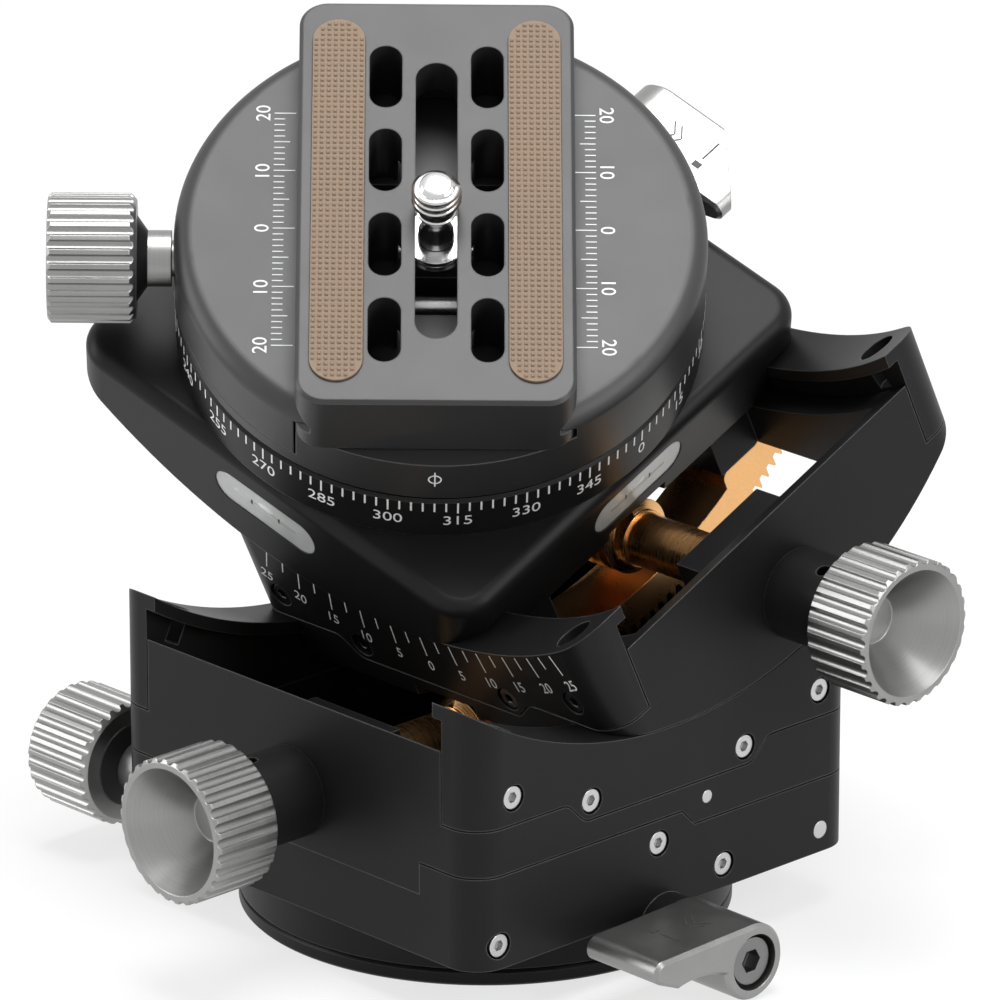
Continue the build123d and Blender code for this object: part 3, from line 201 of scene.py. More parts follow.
class Graph:
    """The node tree of one material, empty but for its output."""

    def __init__(self, name: str) -> None:
        """Start a material.

        Args:
            name: the material's name.
        """
        self.material = bpy.data.materials.new(name)
        self.material.use_nodes = True
        self.tree = self.material.node_tree
        self.tree.nodes.clear()
        self.output = self.node("ShaderNodeOutputMaterial")

    def link(self, source: Value, target: bpy.types.NodeSocket) -> None:
        """Join a value to a socket."""
        self.tree.links.new(source.socket, target)

    def node(self, kind: str, settings: dict | None = None, **sockets: object) -> bpy.types.Node:
        """Add a node.

        Args:
            kind: the node's type.
            settings: its settings, set before its sockets.
            sockets: values or links, with _ for a space in the socket's name.

        Returns:
            The node.
        """
        node = self.tree.nodes.new(kind)
        for key, value in (settings or {}).items():
            setattr(node, key, value)
        for key, value in sockets.items():
            socket = node.inputs[key.replace("_", " ")]
            if isinstance(value, Value):
                self.link(value, socket)
            else:
                socket.default_value = value
        return node

    def maths(self, operation: str, *inputs: Value | float, clamp: bool = False) -> Value:
        """Add a Math node.

        Args:
            operation: the node's operation.
            inputs: its inputs in order, values or numbers.
            clamp: whether the result stays between 0 and 1.

        Returns:
            The node's result.
        """
        node = self.node("ShaderNodeMath", {"operation": operation, "use_clamp": clamp})
        for socket, value in zip(node.inputs, inputs):
            if isinstance(value, Value):
                self.link(value, socket)
            else:
                socket.default_value = value
        return Value(self, node.outputs[0])

    def place(self, home: Matrix | None = None) -> Value:
        """Object coordinates in millimetres, turned back to a piece's own level place.

        Args:
            home: the place that the piece was put to.

        Returns:
            The coordinates as a vector.
        """
        coords = Value(self, self.node("ShaderNodeTexCoord").outputs["Object"])
        back = (home or Matrix.Identity(4)).inverted()
        euler = back.to_euler()
        scale = (1 / MM,) * 3
        mapping = self.node(
            "ShaderNodeMapping", Vector=coords, Scale=scale, Rotation=euler, Location=back.translation
        )
        return Value(self, mapping.outputs[0])

    def noise(self, vector: Value, size: float, detail: float = 2.0, rough: float = 0.5) -> Value:
        """Noise from 0 to 1.

        Args:
            vector: where it is read.
            size: size of its features in millimetres, about.
            detail: number of finer layers.
            rough: strength of the finer layers.

        Returns:
            The noise.
        """
        scale = 1 / size
        node = self.node("ShaderNodeTexNoise", Vector=vector, Scale=scale, Detail=detail, Roughness=rough)
        return Value(self, node.outputs["Fac"])

    def radius(self, vector: Value) -> Value:
        """Distance from the Z axis.

        Args:
            vector: the place.

        Returns:
            The distance.
        """
        parts = self.node("ShaderNodeSeparateXYZ", Vector=vector)
        x, y = Value(self, parts.outputs[0]), Value(self, parts.outputs[1])
        return (x * x + y * y).math("SQRT")

    def height(self, vector: Value) -> Value:
        """The vector's Z."""
        return Value(self, self.node("ShaderNodeSeparateXYZ", Vector=vector).outputs[2])

    def mix(self, share: Value, first: Sequence[float], second: Sequence[float]) -> Value:
        """Blend two colours.

        Args:
            share: how much of the second colour shows.
            first: the colour at 0.
            second: the colour at 1.

        Returns:
            The colour.
        """
        node = self.node("ShaderNodeMix", {"data_type": "RGBA"})
        self.link(share, node.inputs[0])
        node.inputs[6].default_value = (*first[:3], 1.0)
        node.inputs[7].default_value = (*second[:3], 1.0)
        return Value(self, node.outputs[2])

    def rounding(self, size: float) -> tuple[Value, Value]:
        """Broken edges that the solids leave sharp.

        Args:
            size: radius of the broken edge in millimetres.

        Returns:
            The rounded normal, and a mask that is 1 on the edges.
        """
        bevel = self.node("ShaderNodeBevel", {"samples": 6}, Radius=size * MM)
        smooth = Value(self, bevel.outputs[0])
        flat = Value(self, self.node("ShaderNodeNewGeometry").outputs["Normal"])
        dot = self.node("ShaderNodeVectorMath", {"operation": "DOT_PRODUCT"})
        self.link(smooth, dot.inputs[0])
        self.link(flat, dot.inputs[1])
        return smooth, (1 - Value(self, dot.outputs["Value"])).between(0.01, 0.22)

    def bump(
        self, height: Value, depth: float, under: Value | None = None, strength: float = 1.0
    ) -> Value:
        """Bump, over another normal if one is given.

        Args:
            height: the pattern.
            depth: its depth in millimetres.
            under: the normal that it stands on.
            strength: how much of it shows.

        Returns:
            The normal.
        """
        node = self.node("ShaderNodeBump", Height=height, Distance=depth * MM, Strength=strength)
        if under is not None:
            self.link(under, node.inputs["Normal"])
        return Value(self, node.outputs[0])

    def surface(self, **sockets: object) -> bpy.types.Material:
        """Finish with a Principled shader.

        Args:
            sockets: its inputs, with _ for a space.

        Returns:
            The material.
        """
        shader = self.node("ShaderNodeBsdfPrincipled", None, **sockets)
        self.tree.links.new(shader.outputs[0], self.output.inputs["Surface"])
        return self.material


# ---- finishes ----------------------------------------------------------------------------------
class Lay(Enum):
    """Direction of the tool marks on a metal."""

    BLASTED = "blasted"
    TURNED = "turned"


@dataclass(frozen=True)
class BlackAnodised:
    """Bead-blasted black anodised aluminium, with a painted highlight on its broken edges, whose colour is
    lightened where they would catch the light.
    """

    name: str
    tone: float = 0.0045
    edge_tone: float = 0.12
    rough: float = 0.40
    shine: float = 0.14
    grain: float = 0.16
    edge: float = 0.28

    def build(self) -> bpy.types.Material:
        """Make the finish.

        Returns:
            The material.
        """
        graph = Graph(self.name)
        where = graph.place()
        grain = graph.noise(where, self.grain, 2.0)
        cloud = graph.noise(where, 9.0, 3.0)
        smooth, highlit_edge = graph.rounding(self.edge)
        base = (self.tone,) * 3
        # Painted highlight: the edge mask lightens the colour towards the edge tone where the broken edges
        # would catch the light, and makes them slightly smoother; grain and cloud add random mottle.
        lit = (self.edge_tone, self.edge_tone, self.edge_tone * 1.02)
        mottle_and_edge_highlight = highlit_edge * 0.8 + (grain - 0.5) * 0.05 + (cloud - 0.5) * 0.03
        colour = graph.mix(mottle_and_edge_highlight.math("ADD", 0.04, clamp=True), base, lit)
        rough = (grain - 0.5) * 0.12 + (cloud - 0.5) * 0.08 + (self.rough - highlit_edge * 0.08)
        return graph.surface(
            Base_Color=colour, Roughness=rough, Normal=graph.bump(grain, 0.012, smooth, 0.5),
            IOR=1.5, Specular_IOR_Level=self.shine,
        )


@dataclass(frozen=True)
class Metal:
    """Bare or anodised metal, blasted or with tool marks round an axis, with a painted highlight on its
    edges.
    """

    name: str
    colour: Point
    rough: float
    lay: Lay = Lay.BLASTED
    home: Matrix | None = None
    mark: float = 0.22
    depth: float = 0.008
    edge: float = 0.2
    stain: float = 0.12

    def build(self) -> bpy.types.Material:
        """Make the finish.

        Returns:
            The material.
        """
        graph = Graph(self.name)
        where = graph.place(self.home)
        if self.lay is Lay.TURNED:
            far, up = graph.radius(where), graph.height(where)
            rings = graph.node("ShaderNodeCombineXYZ", X=far, Y=up)
            marks = graph.noise(Value(graph, rings.outputs[0]), self.mark, 3.0)
        else:
            marks = graph.noise(where, self.mark, 2.0)
        cloud = graph.noise(where, 6.0, 3.0)
        smooth, highlit_edge = graph.rounding(self.edge)
        light = tuple(min(1.0, part * 1.12 + 0.03) for part in self.colour)
        dark = tuple(part * (1 - 2 * self.stain) for part in self.colour)
        # Painted highlight: the edge mask pushes the colour towards the lighter end; the cloud and tool marks
        # vary it at random.
        share = (cloud * 0.5 + marks * 0.5 + highlit_edge * 0.4).math("MULTIPLY", 1.0, clamp=True)
        rough = (marks - 0.5) * 0.14 + (cloud - 0.5) * 0.1 + self.rough
        return graph.surface(
            Base_Color=graph.mix(share, dark, light), Metallic=1.0, Roughness=rough,
            Normal=graph.bump(marks, self.depth, smooth, 0.6),
        )


@dataclass(frozen=True)
class SoftRubber:
    """Tan rubber with a dull bloom."""

    name: str
    colour: Point = (0.22, 0.155, 0.105)

    def build(self) -> bpy.types.Material:
        """Make the finish.

        Returns:
            The material.
        """
        graph = Graph(self.name)
        where = graph.place()
        dust, cloud = graph.noise(where, 0.2, 2.0), graph.noise(where, 5.0, 3.0)
        dark = tuple(part * 0.72 for part in self.colour)
        light = tuple(part * 1.2 for part in self.colour)
        return graph.surface(
            Base_Color=graph.mix(dust * 0.6 + cloud * 0.4, dark, light), Roughness=cloud * 0.15 + 0.62,
            Normal=graph.bump(dust, 0.02),
        )


@dataclass(frozen=True)
class Print:
    """Laser-marked or filled lettering."""

    name: str
    tone: float = 0.82

    def build(self) -> bpy.types.Material:
        """Make the finish.

        Returns:
            The material.
        """
        graph = Graph(self.name)
        speck = graph.noise(graph.place(), 0.12, 2.0)
        low, high = (self.tone * 0.86,) * 3, (self.tone,) * 3
        return graph.surface(Base_Color=graph.mix(speck, low, high), Roughness=speck * 0.1 + 0.5)


@dataclass(frozen=True)
class ClearResin:
    """Clear cast resin of a bubble level."""

    name: str
    tint: Point = (0.93, 0.95, 0.94)
    clear: float = 0.5
    rough: float = 0.06

    def build(self) -> bpy.types.Material:
        """Make the finish.

        Returns:
            The material.
        """
        graph = Graph(self.name)
        cloud = graph.noise(graph.place(), 2.5, 3.0)
        dull = tuple(part * 0.86 for part in self.tint)
        return graph.surface(
            Base_Color=graph.mix(cloud, dull, self.tint), Roughness=cloud * 0.05 + self.rough,
            Transmission_Weight=self.clear, IOR=1.45, Normal=graph.bump(cloud, 0.02),
        )


# ---- modelling ---------------------------------------------------------------------------------
def deselect() -> None:
    """Deselect every object."""
    bpy.ops.object.select_all(action="DESELECT")


def pick(piece: bpy.types.Object) -> None:
    """Select one object alone and make it active.

    Args:
        piece: the object.
    """
    deselect()
    piece.select_set(True)
    bpy.context.view_layer.objects.active = piece


def active(name: str) -> bpy.types.Object:
    """Name the object that an operator has just added.

    Args:
        name: its new name.

    Returns:
        The object.
    """
    piece = bpy.context.active_object
    piece.name = name
    return piece


def settle(piece: bpy.types.Object, home: Matrix) -> bpy.types.Object:
    """Take a piece's millimetres to metres at its place, the object itself staying at the origin.

    Args:
        piece: the piece, modelled level and in millimetres.
        home: the place that it belongs at.

    Returns:
        The same piece.
    """
    own = piece.matrix_world.copy()
    piece.matrix_world = Matrix.Identity(4)
    piece.data.transform(Matrix.Scale(MM, 4) @ home @ own)
    piece.data.update()
    return piece


def join(pieces: Sequence[bpy.types.Object], name: str) -> bpy.types.Object:
    """Join pieces into one.

    Args:
        pieces: the pieces.
        name: the name of the whole.

    Returns:
        The whole.
    """
    deselect()
    for piece in pieces:
        piece.select_set(True)
    bpy.context.view_layer.objects.active = pieces[0]
    if len(pieces) > 1:
        bpy.ops.object.join()
    return active(name)


def stamp(model: bpy.types.Object, places: Iterable[Matrix], name: str) -> bpy.types.Object:
    """Copy a model to each place, each copy with its own mesh, and join the copies.

    Args:
        model: the model, which is used up.
        places: where the copies go.
        name: the name of the whole.

    Returns:
        The whole.
    """
    copies = []
    for place in places:
        copy = bpy.data.objects.new(name, model.data.copy())
        copy.data.transform(place @ model.matrix_world)
        bpy.context.collection.objects.link(copy)
        copies.append(copy)
    bpy.data.objects.remove(model)
    return join(copies, name)


def modify(piece: bpy.types.Object, kind: str, **settings: object) -> None:
    """Add a modifier and apply it.

    Args:
        piece: the piece.
        kind: the modifier's type.
        settings: the modifier's settings.
    """
    pick(piece)
    modifier = piece.modifiers.new(kind.lower(), kind)
    for key, value in settings.items():
        setattr(modifier, key, value)
    bpy.ops.object.modifier_apply(modifier=modifier.name)


def smooth(piece: bpy.types.Object, angle: float = 32.0) -> None:
    """Shade smooth up to an angle between faces."""
    pick(piece)
    bpy.ops.object.shade_smooth_by_angle(angle=math.radians(angle))


def edit(piece: bpy.types.Object, *steps: Callable[[], object]) -> None:
    """Run edit-mode steps on the whole of a piece.

    Args:
        piece: the piece.
        steps: the operators, in order.
    """
    pick(piece)
    bpy.ops.object.mode_set(mode="EDIT")
    bpy.ops.mesh.select_all(action="SELECT")
    for step in steps:
        step()
    bpy.ops.object.mode_set(mode="OBJECT")


def outward_normals() -> None:
    """Turn all faces outwards."""
    bpy.ops.mesh.select_all(action="SELECT")
    bpy.ops.mesh.normals_make_consistent(inside=False)


def bar(name: str, wide: float, tall: float, thick: float = 0.03) -> bpy.types.Object:
    """Thin mark centred on the origin, standing out along +Z.

    Args:
        name: the mark's name.
        wide: size along X.
        tall: size along Y.
        thick: how far it stands out.

    Returns:
        The closed mark.
    """
    bpy.ops.mesh.primitive_plane_add(size=1.0)
    piece = active(name)
    edit(
        piece,
        lambda: bpy.ops.transform.resize(value=(wide, tall, 1.0)),
        lambda: bpy.ops.mesh.extrude_region_move(TRANSFORM_OT_translate={"value": (0, 0, thick)}),
        outward_normals,
    )
    return piece


def turned(name: str, profile: Sequence[tuple[float, float]], segments: int = 48) -> bpy.types.Object:
    """Turned piece about Z, from a circle that is extruded and resized along a profile.

    Args:
        name: the piece's name.
        profile: radius and height of each step, from the bottom up.
        segments: sides of the circle.

    Returns:
        The closed piece.
    """
    radius, height = profile[0]
    deselect()
    bpy.ops.mesh.primitive_circle_add(
        vertices=segments, radius=radius, location=(0, 0, height), fill_type="NGON"
    )
    piece = active(name)
    settle_here(piece)
    pick(piece)
    bpy.ops.object.mode_set(mode="EDIT")
    bpy.ops.mesh.select_all(action="SELECT")
    for new_radius, new_height in profile[1:]:
        bpy.ops.mesh.extrude_region_move(TRANSFORM_OT_translate={"value": (0, 0, new_height - height)})
        share = new_radius / radius
        bpy.ops.transform.resize(value=(share, share, 1.0), center_override=(0, 0, new_height))
        radius, height = new_radius, new_height
    outward_normals()
    bpy.ops.object.mode_set(mode="OBJECT")
    smooth(piece)
    return piece


def settle_here(piece: bpy.types.Object) -> None:
    """Move an object's place into its mesh.

    Args:
        piece: the object.
    """
    own = piece.matrix_world.copy()
    piece.matrix_world = Matrix.Identity(4)
    piece.data.transform(own)


def thread(
    name: str, radius: float, pitch: float, low: float, turns: int, deep: float
) -> bpy.types.Object:
    """Helical ridge of a screw thread about Z.

    Args:
        name: the piece's name.
        radius: radius of the ridge's crest, about.
        pitch: rise of one turn.
        low: height where it starts.
        turns: number of turns.
        deep: size of the ridge's section.

    Returns:
        The closed ridge.
    """
    deselect()
    bpy.ops.mesh.primitive_circle_add(
        vertices=3, radius=deep, location=(radius - deep * 0.5, 0, low),
        rotation=(math.pi / 2, math.pi / 2, 0),
    )
    piece = active(name)
    settle_here(piece)
    modify(
        piece, "SCREW", axis="Z", screw_offset=pitch, iterations=turns,
        steps=THREAD_STEPS, render_steps=THREAD_STEPS, use_merge_vertices=False,
    )
    edit(
        piece,
        lambda: bpy.ops.mesh.select_all(action="DESELECT"),
        lambda: bpy.ops.mesh.select_non_manifold(),
        lambda: bpy.ops.mesh.edge_face_add(),
        outward_normals,
    )
    return piece


def lettering(name: str, words: str, tall: float) -> bpy.types.Object:
    """Flat closed lettering, centred on the origin.

    Args:
        name: the piece's name.
        words: what it says.
        tall: height of the digits.

    Returns:
        The lettering as a mesh.
    """
    deselect()
    bpy.ops.object.text_add()
    piece = active(name)
    piece.data.body = words
    piece.data.align_x = "CENTER"
    piece.data.align_y = "CENTER"
    piece.data.resolution_u = 4
    piece.data.extrude = 0.01
    pick(piece)
    bpy.ops.object.convert(target="MESH")
    piece = active(name)
    corners = [vertex.co for vertex in piece.data.vertices]
    low, high = min(c.y for c in corners), max(c.y for c in corners)
    left, right = min(c.x for c in corners), max(c.x for c in corners)
    share = tall / (high - low)
    centre = shift(-(left + right) / 2, -(low + high) / 2, 0)
    piece.data.transform(Matrix.Diagonal((share, share, 1.0, 1.0)) @ centre)
    return piece


def wrap(piece: bpy.types.Object, radius: float) -> None:
    """Bend a flat mark onto an upright cylinder, at angle 0.

    Args:
        piece: the mark, its arc length along X and its height along Y.
        radius: the cylinder's radius.
    """
    for vertex in piece.data.vertices:
        along, up, out = vertex.co
        angle = along / radius
        far = radius + out
        vertex.co = (far * math.cos(angle), far * math.sin(angle), up)


def dress(piece: bpy.types.Object, material: bpy.types.Material) -> bpy.types.Object:
    """Give a piece one material.

    Args:
        piece: the piece.
        material: its finish.

    Returns:
        The same piece.
    """
    piece.data.materials.clear()
    piece.data.materials.append(material)
    return piece


def mount(piece: bpy.types.Object, body: str, material: bpy.types.Material) -> None:
    """Dress a finished piece and let it ride on a body.

    Args:
        piece: the piece, settled at its place.
        body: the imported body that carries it.
        material: its finish.
    """
    dress(piece, material)
    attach(piece, body)
    LOG.info("%s: %d faces on %s", piece.name, len(piece.data.polygons), body)


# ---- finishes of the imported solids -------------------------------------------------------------
class Palette:
    """All finishes, built once."""

    def __init__(self) -> None:
        """Build every material."""
        along_lower = shift(0, 0, STACK.lower_worm) @ turn(90, "X")
        along_upper = STACK.cradle @ shift(0, 0, STACK.upper_worm) @ turn(90, "Y")
        along_clamp = STACK.clamp @ shift(0, 0, STACK.clamp_screw) @ turn(-90, "Y")
        along_drag = shift(0, STACK.drag_across, STACK.drag_height) @ turn(-90, "Y")
        silver = (0.29, 0.29, 0.286)
        self.black = BlackAnodised("black_anodised").build()
        # Painted sheen: a lighter, shinier copy of the black anodised for the camera plate and clamp on top,
        # standing in for the light that falls on them from above.
        self.top_black = BlackAnodised("black_anodised_lit_top", tone=0.014, rough=0.44, shine=0.5).build()
        self.silver = Metal("silver_anodised", silver, 0.36, mark=0.2, depth=0.01).build()
        self.lower_knob = Metal("silver_turned_lower", silver, 0.33, Lay.TURNED, along_lower).build()
        self.upper_knob = Metal("silver_turned_upper", silver, 0.33, Lay.TURNED, along_upper).build()
        self.clamp_knob = Metal("silver_turned_clamp", silver, 0.33, Lay.TURNED, along_clamp).build()
        self.drag_knob = Metal("silver_turned_drag", silver, 0.33, Lay.TURNED, along_drag).build()
        bronze = (0.85, 0.47, 0.19)
        self.bronze = Metal("machined_bronze", bronze, 0.30, mark=0.3, depth=0.01).build()
        self.lower_worm = Metal("bronze_turned_lower", bronze, 0.28, Lay.TURNED, along_lower).build()
        self.upper_worm = Metal("bronze_turned_upper", bronze, 0.28, Lay.TURNED, along_upper).build()
        self.steel = Metal("turned_steel", (0.62, 0.62, 0.62), 0.2, Lay.TURNED, STACK.stud).build()
        self.screws = Metal("bright_screws", (0.55, 0.55, 0.55), 0.3, mark=0.12).build()
        self.bolts = Metal("grey_bolts", (0.20, 0.20, 0.20), 0.32, mark=0.12).build()
        self.dark = Metal("blackened_screws", (0.07, 0.07, 0.075), 0.34, mark=0.12).build()
        self.rubber = SoftRubber("tan_rubber").build()
        self.white = Print("white_marks").build()
        self.engraved = Print("dark_engraving", 0.035).build()
        self.resin = ClearResin("level_resin").build()
        self.liquid = ClearResin("level_liquid", (0.80, 0.86, 0.82), 0.5, 0.04).build()
        self.air = ClearResin("level_bubble", (0.97, 0.98, 0.98), 0.2, 0.1).build()

    def coat(self, nodes: dict[str, bpy.types.Object]) -> None:
        """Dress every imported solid.

        Args:
            nodes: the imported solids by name.
        """
        special = {
            "lower_knob": self.lower_knob, "upper_knob": self.upper_knob, "clamp_knob": self.clamp_knob,
            "drag_knob": self.drag_knob, "clamp_screw": self.clamp_knob, "drag_screw": self.bolts,
            "pan_lock_lever": self.silver, "top_lock_lever": self.silver, "pan_lock_bolt": self.bolts,
            "top_lock_bolt": self.bolts, "lower_worm": self.lower_worm, "upper_worm": self.upper_worm,
            "lower_gear_sector": self.bronze, "upper_gear_sector": self.bronze, "pan_lock_pad": self.bronze,
            "top_lock_pad": self.bronze, "drag_ring": self.silver, "guide_rods": self.screws,
            "base_insert": self.steel, "retaining_washer": self.screws, "retaining_screws": self.dark,
            "lower_plate_screws": self.screws, "housing_screws": self.screws, "upper_plate_screws": self.dark,
            "dowel_pins": self.screws, "rubber_strips": self.rubber, "camera_screw": self.steel,
            "screw_washer": self.steel, "vial_front": self.resin, "vial_right": self.resin,
            # the camera plate and clamp take the lighter copy of the black anodised, a painted sheen
            "camera_plate": self.top_black, "clamp_body": self.top_black, "clamp_jaw": self.top_black,
        }
        for name, node in nodes.items():
            dress(node, special.get(name, self.black))
            LOG.info("%s dressed in %s", name, node.data.materials[0].name)


# ---- scales and marks --------------------------------------------------------------------------
@dataclass
class RingScale:
    """Degree scale of the top pan: ticks and numbers round the ring."""

    palette: Palette
    radius: float = 36.72
    top: float = 76.7
    minor: float = 1.9
    major: float = 2.3
    number_height: float = 2.0
    number_middle: float = 72.75
    step: float = 2.5
    labelled: int = 6

    def tick(self, count: int, long: bool) -> Matrix:
        """Place of one tick on the ring.

        Args:
            count: its number, from zero degrees on.
            long: whether it is a long tick.

        Returns:
            The place.
        """
        tall = self.major if long else self.minor
        middle = self.top - tall / 2
        upright = turn(90, "Z") @ turn(90, "X")
        return turn(count * self.step, "Z") @ shift(self.radius, 0, middle) @ upright

    def build(self) -> None:
        """Make the ticks and the numbers."""
        counts = range(round(360 / self.step))
        for long in (False, True):
            chosen = [n for n in counts if (n % self.labelled == 0) == long]
            model = bar("pan_tick", 0.26, self.major if long else self.minor)
            name = "pan_ticks_long" if long else "pan_ticks_short"
            ticks = stamp(model, [self.tick(n, long) for n in chosen], name)
            mount(settle(ticks, STACK.stage), "top_stage", self.palette.white)
        numbers = []
        for count in counts:
            if count % self.labelled:
                continue
            number = lettering("pan_number", f"{count * self.step:.0f}", self.number_height)
            wrap(number, self.radius)
            number.data.transform(turn(count * self.step, "Z") @ shift(0, 0, self.number_middle))
            numbers.append(number)
        joined = join(numbers, "pan_numbers")
        mount(settle(joined, STACK.stage), "top_stage", self.palette.white)


@dataclass
class TiltScale:
    """Degree scale of the upper tilt on the cradle's front plate."""

    palette: Palette
    axis: float = 118.4
    face: float = -36.22
    inner: float = 66.75
    major: float = 3.3
    minor: float = 2.0
    number_height: float = 1.7
    number_radius: float = 71.9
    limit: int = 25

    def place(self, angle: float, radius: float) -> Matrix:
        """Place on the plate's outer face, looking out of it, up towards the tilt axis."""
        centre = shift(0, self.face, self.axis)
        return centre @ turn(-angle, "Y") @ shift(0, 0, -radius) @ turn(90, "X")

    def build(self) -> None:
        """Make the ticks and the numbers."""
        for long in (False, True):
            angles = [n * 2.5 for n in range(-10, 11) if (n % 2 == 0) == long]
            tall = self.major if long else self.minor
            places = [self.place(angle, self.inner + tall / 2) for angle in angles]
            name = "tilt_ticks_long" if long else "tilt_ticks_short"
            ticks = stamp(bar("tilt_tick", 0.2, tall), places, name)
            mount(settle(ticks, STACK.cradle), "cradle", self.palette.white)
        numbers = []
        for degrees in range(-self.limit, self.limit + 1, 5):
            number = lettering("tilt_number", str(abs(degrees)), self.number_height)
            number.data.transform(self.place(degrees, self.number_radius))
            numbers.append(number)
        mount(settle(join(numbers, "tilt_numbers"), STACK.cradle), "cradle", self.palette.white)


@dataclass
class ClampScale:
    """Millimetre scale on both sides of the clamp's top."""

    palette: Palette
    middle: float = -0.87
    top: float = 90.01
    outer: float = 22.2
    minor: float = 1.5
    fifth: float = 2.2
    tenth: float = 3.0
    number_out: float = 23.75
    number_height: float = 2.0

    def length(self, millimetre: int) -> float:
        """Length of a tick.

        Args:
            millimetre: what it stands for.

        Returns:
            The length.
        """
        if millimetre % 10 == 0:
            return self.tenth
        return self.fifth if millimetre % 5 == 0 else self.minor

    def build(self) -> None:
        """Make the ticks and numbers; the left ones sit on the jaw."""
        for side, body in ((-1, "jaw"), (1, "clamp")):
            groups: dict[float, list[Matrix]] = {}
            for millimetre in range(-20, 21):
                long = self.length(millimetre)
                place = shift(self.middle + side * (self.outer - long / 2), millimetre, self.top)
                groups.setdefault(long, []).append(place)
            ticks = [
                stamp(bar("clamp_tick", long, 0.16), places, "clamp_ticks")
                for long, places in groups.items()
            ]
            joined = join(ticks, f"clamp_ticks_{body}")
            mount(settle(joined, STACK.clamp), body, self.palette.white)
            numbers = []
            for millimetre in range(-20, 21, 10):
                number = lettering("clamp_number", str(abs(millimetre)), self.number_height)
                middle = self.middle + side * self.number_out
                number.data.transform(shift(middle, millimetre, self.top + 0.01) @ turn(-90 * side, "Z"))
                numbers.append(number)
            joined = join(numbers, f"clamp_numbers_{body}")
            mount(settle(joined, STACK.clamp), body, self.palette.white)


@dataclass
class IndexMark:
    """Circle with a bar on the clamp's wall, over the pan scale."""

    palette: Palette
    radius: float = 36.72
    angle: float = 310.0
    middle: float = 82.3
    ring: float = 0.95

    def build(self) -> None:
        """Make the mark."""
        deselect()
        bpy.ops.mesh.primitive_circle_add(vertices=40, radius=self.ring, fill_type="NGON")
        circle = active("index_circle")
        edit(
            circle,
            lambda: bpy.ops.mesh.inset(thickness=0.2),
            lambda: bpy.ops.mesh.delete(type="FACE"),
            lambda: bpy.ops.mesh.select_all(action="SELECT"),
            lambda: bpy.ops.mesh.extrude_region_move(TRANSFORM_OT_translate={"value": (0, 0, 0.03)}),
            outward_normals,
        )
        mark = join([circle, bar("index_bar", 0.2, 3.2)], "index_mark")
        wrap(mark, self.radius)
        mark.data.transform(turn(self.angle, "Z") @ shift(0, 0, self.middle))
        mount(settle(mark, STACK.stage), "clamp", self.palette.white)


@dataclass
class LeverMarks:
    """Double chevron and a small lock sign on a lever's flat top."""

    palette: Palette
    body: str
    home: Matrix
    name: str
    proud: float = 0.02
    stroke: tuple[float, float] = (2.3, 0.22)
    stroke_angle: float = 52.0
    stroke_aside: float = 0.95
    chevron_step: float = 1.25
    lock_along: float = 6.4
    line: tuple[float, float] = (3.6, 0.26)
    line_aside: float = 1.2
    sign: tuple[float, float] = (1.3, 1.0)
    sign_aside: float = -1.9

    def build(self) -> None:
        """Make the engraved strokes."""
        strokes = []
        for step in (0.0, self.chevron_step):
            for side in (-1, 1):
                stroke = bar("chevron", *self.stroke, self.proud)
                aside = shift(step, side * self.stroke_aside, 0)
                stroke.data.transform(aside @ turn(-side * self.stroke_angle, "Z"))
                strokes.append(stroke)
        line = bar("lock_line", *self.line, self.proud)
        line.data.transform(shift(self.lock_along, self.line_aside, 0) @ turn(90, "Z"))
        sign = bar("lock_sign", *self.sign, self.proud)
        sign.data.transform(shift(self.lock_along, self.sign_aside, 0))
        marks = join([*strokes, line, sign], self.name)
        mount(settle(marks, self.home), self.body, self.palette.engraved)


# ---- fine parts --------------------------------------------------------------------------------
@dataclass
class CameraStud:
    """Camera screw with its rolled thread, waist and slotted head."""

    palette: Palette
    head: float = 4.55
    neck: float = 2.45
    waist: float = 1.75
    shoulder: float = 2.75
    root: float = 2.55
    crest: float = 3.12
    pitch: float = 1.27
    turns: int = 3
    low: float = 88.0
    ledge: float = 90.25
    tip: float = 102.12

    def build(self) -> None:
        """Make the screw, which replaces the plain one."""
        profile = [
            (3.6, self.low), (self.head, self.low + 0.4), (self.head, self.ledge - 0.95),
            (self.neck, self.ledge - 0.94), (self.neck, self.ledge + 1.6),
            (self.waist, self.ledge + 2.9), (self.waist, self.ledge + 4.3),
            (self.shoulder, self.ledge + 5.9), (self.shoulder, self.ledge + 6.2),
            (self.root, self.ledge + 6.4), (self.root, self.tip - 1.6), (3.05, self.tip - 1.35),
            (2.1, self.tip - 0.12), (1.9, self.tip),
        ]
        core = turned("camera_stud", profile)
        start = self.ledge + 7.6
        ridge = thread("camera_thread", self.crest, self.pitch, start, self.turns, 0.62)
        piece = join([core, ridge], "camera_stud")
        mount(settle(piece, STACK.stud), "screw", self.palette.steel)
        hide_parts("camera_screw")


